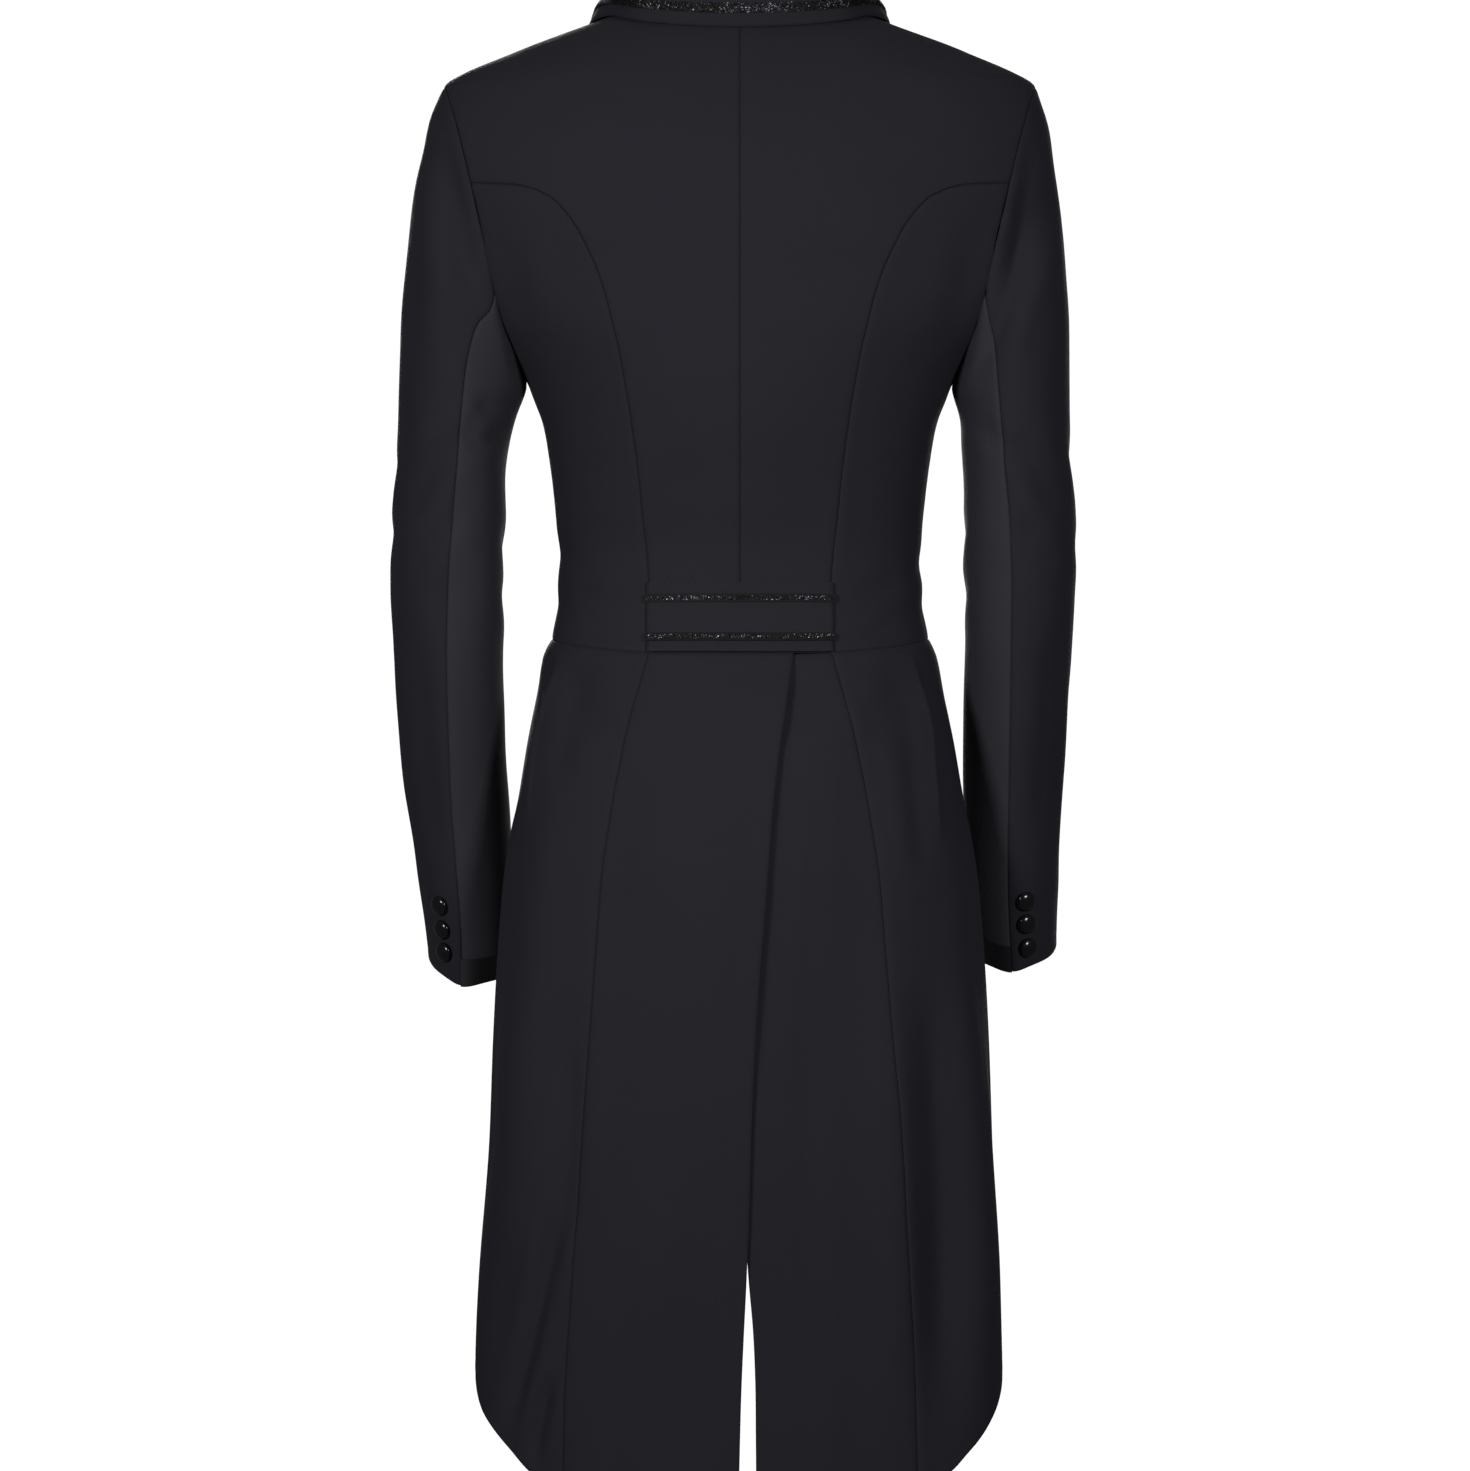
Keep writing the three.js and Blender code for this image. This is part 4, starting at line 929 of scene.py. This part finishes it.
def flake_finish():
    """Small metallic flakes; each carries its own tone."""
    material, tree, bsdf = shader("glitter_flake", {
        "Metallic": 0.6, "Roughness": 0.4, "Specular IOR Level": 0.2,
    })
    tone = node(tree, "ShaderNodeAttribute", out="Fac", attribute_name="tone")
    shade = node(tree, "ShaderNodeMixRGB", {0: tone, 1: (*GLITTER_BLACK, 1), 2: (0.36, 0.37, 0.41, 1)})
    feed(tree, bsdf, {"Base Color": shade})
    return material


GLITTER_BLACK = (0.003, 0.003, 0.0036)
CLOTH_MAT = twill("twill", (0.0126, 0.0118, 0.0166), (0.0188, 0.0178, 0.0240))
UNDER_MAT = twill("under_sleeve_twill", (0.0215, 0.0207, 0.0265), (0.0310, 0.0300, 0.0370))
SATIN_MAT = plain("cuff_satin", (0.006, 0.006, 0.0075), 0.5, 0.35)
BUTTON_MAT = plain("button_gloss", (0.004, 0.004, 0.005), 0.16, 0.4)
GLITTER_BASE = plain("glitter_base", GLITTER_BLACK, 0.7, 0.2)
FLAKE_MAT = flake_finish()


# ---- Assembly ----
def between(grid, j, i, s, t):
    """Values inside the cell after row j and step i, at its shares s and t."""
    return mix(mix(grid[j, i], grid[j, i + 1], t), mix(grid[j + 1, i], grid[j + 1, i + 1], t), s)


class Surface:
    """A fine grid of outer points and normals, which remembers where the coarse rows and steps lie."""

    def __init__(self, points, normals, rows, columns):
        self.points, self.normals, self.rows, self.columns = points, normals, rows, columns

    def at(self, v, u):
        """Points and normals at coarse rows v and steps u."""
        row = np.interp(v, self.rows, np.arange(len(self.rows)))
        step = np.interp(u, self.columns, np.arange(len(self.columns)))
        j = np.clip(row.astype(int), 0, len(self.points) - 2)
        i = np.clip(step.astype(int), 0, self.points.shape[1] - 2)
        s, t = (row - j)[..., None], (step - i)[..., None]
        return between(self.points, j, i, s, t), unit(between(self.normals, j, i, s, t))

    def strip(self, v0, v1, u0, u1, lift, size):
        """A finer grid over part of the surface, moved out by lift."""
        ends, _ = self.at([v0, v1], [u0, u0])
        tall = max(4, round(np.linalg.norm(ends[1] - ends[0]) / size))
        wide = max(4, int(((self.columns > u0) & (self.columns < u1)).sum()))
        v, u = np.meshgrid(np.linspace(v0, v1, tall + 1), np.linspace(u0, u1, wide + 1), indexing="ij")
        points, normals = self.at(v, u)
        return points + normals * lift, normals


def relaid(obj, name):
    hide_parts(name)
    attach(obj, "root")
    return obj


def dressed(name, points, normals, relief, places, free=ALL_EDGES, soft=(), finish=None):
    """One cut piece: its folds, then its seams and edges, and a closed wall of cloth."""
    base = points + normals * relief[..., None]
    outer = base + normals * edge_relief(points, free, soft)[..., None]
    relaid(shell(f"{name}_cloth", outer, normals, CLOTH, finish or CLOTH_MAT, base), name)
    return Surface(base, normals, *places)


def body_piece(name, coarse, side, free=(), lift=None, flare=0, size=GRID, own=()):
    """One panel of the body. Flare is how far its first edge stands off below the waist, own its folds."""
    fine, *places = refine(coarse, size)
    fine = onto(fine)
    normals = body_normal(fine)
    points = fine + normals * np.asarray(lift(side, fine[..., 0]) if lift else 0)[..., None]
    points, normals = meet(points * [side, 1, 1]), normals * [side, 1, 1]
    u, v = cloth_lengths(points)
    below, above = fade(v[-1:] - v, *FLARE_BELOW_WAIST), fade(v, *FLARE_ABOVE_HEM)
    stand_off = flare * bell(u, FLARE_WIDTH) * below * mix(0.4, 1, above)
    relief = body_relief(points, normals) + stand_off + folds(points, normals, own)
    return dressed(name, points, normals, relief, places, free)


def sleeve_piece(name, coarse, side, table, folds_and_seed, finish):
    """A top or under sleeve. Its hem is drawn down to a small point where the hind seam ends."""
    fine, *places = refine(coarse, corner=(70, 100), context=True)
    seam_x, mid_y, hem_z = table[-1][[4, 5, 3]]
    drop = bell(fine[..., 0] - seam_x, HEM_POINT_HALF) * fade(fine[..., 1], mid_y, mid_y + 20)
    fine[..., 2] -= HEM_POINT * drop * fade(fine[..., 2], hem_z + HEM_POINT_REACH, hem_z - HEM_POINT_REACH)
    normals = grid_normals(fine)
    if (normals * (fine - fine.mean(1, keepdims=True))).sum() < 0:
        normals = -normals
    points, normals = meet(fine * [side, 1, 1]), normals * [side, 1, 1]
    relief = sleeve_relief(points, normals, *folds_and_seed)
    return dressed(name, points, normals, relief, places, ("top",), ("bottom",), finish)


def dome(name, place, normal, radius, height, seat):
    """A domed button: a rounded foot, a belly and a smooth crown. Seat is its height above the cloth."""
    profile = [(0, 0), (radius * 0.86, 0), (radius * 0.97, height * 0.14), (radius, height * 0.35)]
    for t in np.linspace(0.12, 1, 9):
        profile.append((radius * math.cos(t * QUARTER), height * (0.35 + 0.65 * math.sin(t * QUARTER))))
    profile[-1] = (0, height)
    turn = np.arange(BUTTON_SIDES) * 4 * QUARTER / BUTTON_SIDES
    aside = unit(np.cross(normal, [0.0, 0.0, 1.0]))
    along_side = np.cross(normal, aside)
    points, rings = [], []
    for r, h in profile:
        start = len(points)
        for a in turn if r > 0 else turn[:1]:
            points.append(place + normal * (seat + h) + (aside * math.cos(a) + along_side * math.sin(a)) * r)
        rings.append(range(start, len(points)))
    faces = []
    for low, high in zip(rings[:-1], rings[1:]):
        for k in range(BUTTON_SIDES):
            n = (k + 1) % BUTTON_SIDES
            if len(low) == 1:
                faces.append((low[0], high[n], high[k]))
            elif len(high) == 1:
                faces.append((low[k], low[n], high[0]))
            else:
                faces.append((low[k], low[n], high[n], high[k]))
    relaid(mesh_object(f"{name}_dome", np.array(points), faces, BUTTON_MAT), name)


def flakes(name, points, normals, seed, share):
    """Loose metallic flakes over a strip: small tilted squares. In patches up to that share is bright."""
    rng = np.random.default_rng(seed)
    area = size_of(np.cross(np.diff(points, axis=1)[:-1], np.diff(points, axis=0)[:, :-1]))
    reach = np.cumsum(area.ravel()) / area.sum()
    count = int(area.sum() * FLAKES_PER_AREA)
    cell = np.minimum(np.searchsorted(reach, rng.random(count)), area.size - 1)
    j, i = np.unravel_index(cell, area.shape)
    s, t = rng.random((count, 1)), rng.random((count, 1))
    centre = between(points, j, i, s, t)
    n = unit(normals[j, i] + rng.normal(0, FLAKE_TILT, (count, 3)))
    a = unit(np.cross(n, rng.normal(size=(count, 3))))
    b = np.cross(n, a)
    radius = rng.uniform(*FLAKE_RADIUS, (count, 1))
    centre = centre + normals[j, i] * rng.uniform(*FLAKE_LIFT, (count, 1))
    corners = np.stack([centre + turn * radius for turn in (a, b, -a, -b)], 1)
    faces = np.arange(count * 4).reshape(count, 4)
    obj = mesh_object(name, corners.reshape(-1, 3), faces.tolist(), FLAKE_MAT, smooth=[False] * count)
    patch = ease(0.35 + 0.9 * ripple(centre, BRIGHT_PATCH, seed + 1))
    bright = rng.random(count) < STRAY_FLAKES + share * patch
    tone = np.where(bright, rng.uniform(0.2, 1, count), rng.uniform(0, 0.05, count))
    obj.data.attributes.new("tone", "FLOAT", "FACE").data.foreach_set("value", tone.astype(np.float32))
    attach(obj, "root")
    return obj


def glitter(name, surface, v0, v1, u0, u1, seed, share):
    """A stiff dark strip, thick with flakes."""
    points, normals = surface.strip(v0, v1, u0, u1, SEAM_GAP + TRIM, STRIP_GRID)
    points = meet(points)
    strip = relaid(shell(f"{name}_strip", points, normals, TRIM, GLITTER_BASE), name)
    return strip, flakes(f"{name}_flakes", points[1:-1], normals[1:-1], seed, share)


centre_grid, side_back_grid, tail_side_grid = back_centre(), side_back(), tail_side()
fronts = {}
# word, side, sleeve, its folds and seed
SIDES = (
    ("left", 1, LEFT_SLEEVE, (LEFT_SLEEVE_FOLDS, 21)),
    ("right", -1, RIGHT_SLEEVE, (RIGHT_SLEEVE_FOLDS, 33)),
)
for word, side, table, folds_and_seed in SIDES:
    body_piece(f"back_centre_{word}", centre_grid, side)
    body_piece(f"side_back_{word}", side_back_grid, side)
    fronts[word] = body_piece(f"front_{word}", front_panel(), side, ("right", "bottom"), overlap_lift)
    body_piece(f"lapel_{word}", lapel(side), side, ALL_EDGES, lapel_lift)
    vent, flare, own = (OVER_VENT, VENT_FLARE, ()) if side > 0 else (UNDER_VENT, 0, UNDER_TAIL_FOLDS)
    body_piece(f"tail_back_{word}", tail_back(vent), side, ("left", "bottom"), under_lift, flare, own=own)
    body_piece(f"tail_side_{word}", tail_side_grid, side, ("right", "bottom"), size=FINE_GRID)
    rings = sleeve(table)
    top = sleeve_piece(f"top_sleeve_{word}", sleeve_part(rings, FORE_START, TOP_STEPS), side, table,
                       folds_and_seed, CLOTH_MAT)
    under = sleeve_piece(f"under_sleeve_{word}", sleeve_part(rings, HIND_START, UNDER_STEPS), side, table,
                         folds_and_seed, UNDER_MAT)
    last = len(table)
    points, normals = under.strip(last - CUFF_BAND, last, 0, UNDER_STEPS, CUFF_GAP + TRIM, SATIN_GRID)
    band = shell(f"cuff_band_{word}_satin", meet(points), normals, TRIM, SATIN_MAT)
    relaid(band, f"cuff_band_{word}")
    for k, (ring, step) in enumerate(CUFF_BUTTONS[word], 1):
        dome(f"cuff_button_{word}_{k}", *top.at(ring, TOP_STEPS - step), *CUFF_BUTTON)

# ---- Collar, belt, trim and front buttons ----
collar_coarse = collar_grid()
points, *places = refine(collar_coarse, size=COLLAR_GRID, corner=(170, 175))
normals = grid_normals(points)
normals *= 1 if normals[len(points) // 2, -1, 1] > 0 else -1
points = meet(points)
collar = dressed("collar", points, normals, body_relief(points, normals), places)

belt_coarse = centre_grid[:BELT_ROWS + 1]
belt_coarse = join([belt_coarse[:, :0:-1] * [-1, 1, 1], belt_coarse], 1)
fine, *places = refine(belt_coarse)
fine = onto(fine)
normals = body_normal(fine)
points = meet(fine + normals * (LAY_GAP + CLOTH))
belt = dressed("belt", points, normals, body_relief(fine, normals), places)

on_sheet = {"belt": ()}
on_sheet["collar"] = glitter("collar_glitter", collar, 0, len(collar_coarse) - 1, *COLLAR_PIPING,
                             COLLAR_SEED, BRIGHT_COLLAR)
for k, (word, (low, high)) in enumerate(BELT_STRIPS.items()):
    on_sheet["belt"] += glitter(f"belt_glitter_{word}", belt, low * BELT_ROWS, high * BELT_ROWS,
                                0, belt_coarse.shape[1] - 1, BELT_SEED + k, BRIGHT_BELT)

for k, row in enumerate(FRONT_BUTTON_ROWS, 1):
    dome(f"front_button_{k}", *fronts["right"].at(row, FRONT_BUTTON_STEP), *FRONT_BUTTON)

# ---- The cut of every sheet; a star stands for left and right ----
# node, width, length and flat area (left and right where they differ), how it is held, what carries it
SHEETS = [
    ("back_centre_*", [(0.210, 0.455, 0.0556)], "draped", ("side_back_*", "front_*", "collar")),
    ("side_back_*", [(0.135, 0.315, 0.0303)], "draped", ("back_centre_*", "front_*")),
    ("front_*", [(0.212, 0.490, 0.0777)], "draped", ("back_centre_*", "side_back_*")),
    ("lapel_*", [(0.060, 0.202, 0.0089), (0.060, 0.251, 0.0095)], "folded", ("front_*",)),
    ("tail_back_*", [(0.122, 0.576, 0.0662), (0.112, 0.570, 0.0584)], "hung",
     ("back_centre_*", "tail_side_*")),
    ("tail_side_*", [(0.149, 0.570, 0.0613)], "hung", ("side_back_*", "tail_back_*")),
    ("top_sleeve_*", [(0.230, 0.600, 0.0955)], "draped", ("back_centre_*", "front_*")),
    ("under_sleeve_*", [(0.135, 0.470, 0.0494), (0.130, 0.455, 0.0447)], "draped",
     ("top_sleeve_*", "side_back_*")),
    ("cuff_band_*", [(0.111, 0.0175, 0.00183), (0.104, 0.0165, 0.00162)], "laid", ("under_sleeve_*",)),
    ("collar", [(0.082, 0.476, 0.0318)], "folded", ("back_centre_left", "back_centre_right")),
    ("belt", [(0.128, 0.0473, None)], "laid", ("back_centre_left", "back_centre_right")),
]
for pattern, sizes, held, carriers in SHEETS:
    words = ("left", "right") if "*" in pattern else ("",)
    for word, (width, length, area) in zip(words, sizes * 2):
        name = pattern.replace("*", word)

# ---- Stage, light and camera ----
FLOOR_Z = -1430
FLOOR_HALF = 2600
SENSOR = 36
CAMERA_AWAY = 7.0
VIEW_WIDTH = 0.9996
PALE = shader("pale_floor", {
    "Base Color": (0.85, 0.85, 0.85, 1), "Roughness": 0.9,
    "Emission Color": (1, 1, 1, 1), "Emission Strength": 0.5,
})[0]
corners = [(x * FLOOR_HALF, y * FLOOR_HALF, FLOOR_Z) for x, y in ((-1, -1), (1, -1), (1, 1), (-1, 1))]
floor = mesh_object("floor", np.array(corners, float), [(0, 1, 2, 3)], PALE)
floor.visible_diffuse = False
floor.visible_glossy = False

# name, place, what it is aimed at, size, power, spread
LIGHTS = (
    ("key", (2.2, 3.3, 0.15), (0.03, 0, -0.36), 0.8, 6.0, 46),
    ("fill", (-2.0, 3.4, 0.1), (-0.03, 0, -0.36), 0.8, 4.6, 46),
    ("front_soft", (0.5, -3.7, 0.4), (0, 0, -0.45), 1.0, 13, 60),
    ("front_fill", (-0.9, -3.7, 0.0), (0, 0, -0.5), 1.4, 3.5, 60),
    ("overhead", (0.3, 0.4, 3.2), (0, 0, -1.4), 2.4, 12, 180),
)
for name, place, target, size, power, spread in LIGHTS:
    data = bpy.data.lights.new(name, "AREA")
    data.shape, data.size, data.energy, data.spread = "SQUARE", size, power, math.radians(spread)
    light = bpy.data.objects.new(name, data)
    light.location = place
    light.rotation_euler = (Vector(target) - Vector(place)).to_track_quat("-Z", "Y").to_euler()
    bpy.context.scene.collection.objects.link(light)

world = bpy.data.worlds.new("studio")
bpy.context.scene.world = world
world.use_nodes = True
tree = world.node_tree
around = tree.nodes["Background"]
feed(tree, around, {"Color": (0.94, 0.96, 1.0, 1), "Strength": 0.10})
seen = node(tree, "ShaderNodeBackground", {"Color": (1, 1, 1, 1), "Strength": 1.05})
ray = node(tree, "ShaderNodeLightPath", out="Is Camera Ray")
choice = node(tree, "ShaderNodeMixShader", {0: ray, 1: around.outputs[0], 2: seen})
feed(tree, tree.nodes["World Output"], {"Surface": choice})
bpy.context.scene.view_settings.view_transform = "Standard"

camera = bpy.data.objects.new("camera", bpy.data.cameras.new("camera"))
bpy.context.scene.collection.objects.link(camera)
bpy.context.scene.camera = camera
camera.location = (0.0034, CAMERA_AWAY, -0.4932)
camera.rotation_euler = (math.radians(90), 0, math.radians(180))
camera.data.sensor_width = SENSOR
camera.data.lens = SENSOR * CAMERA_AWAY / VIEW_WIDTH
camera.data.clip_end = 60
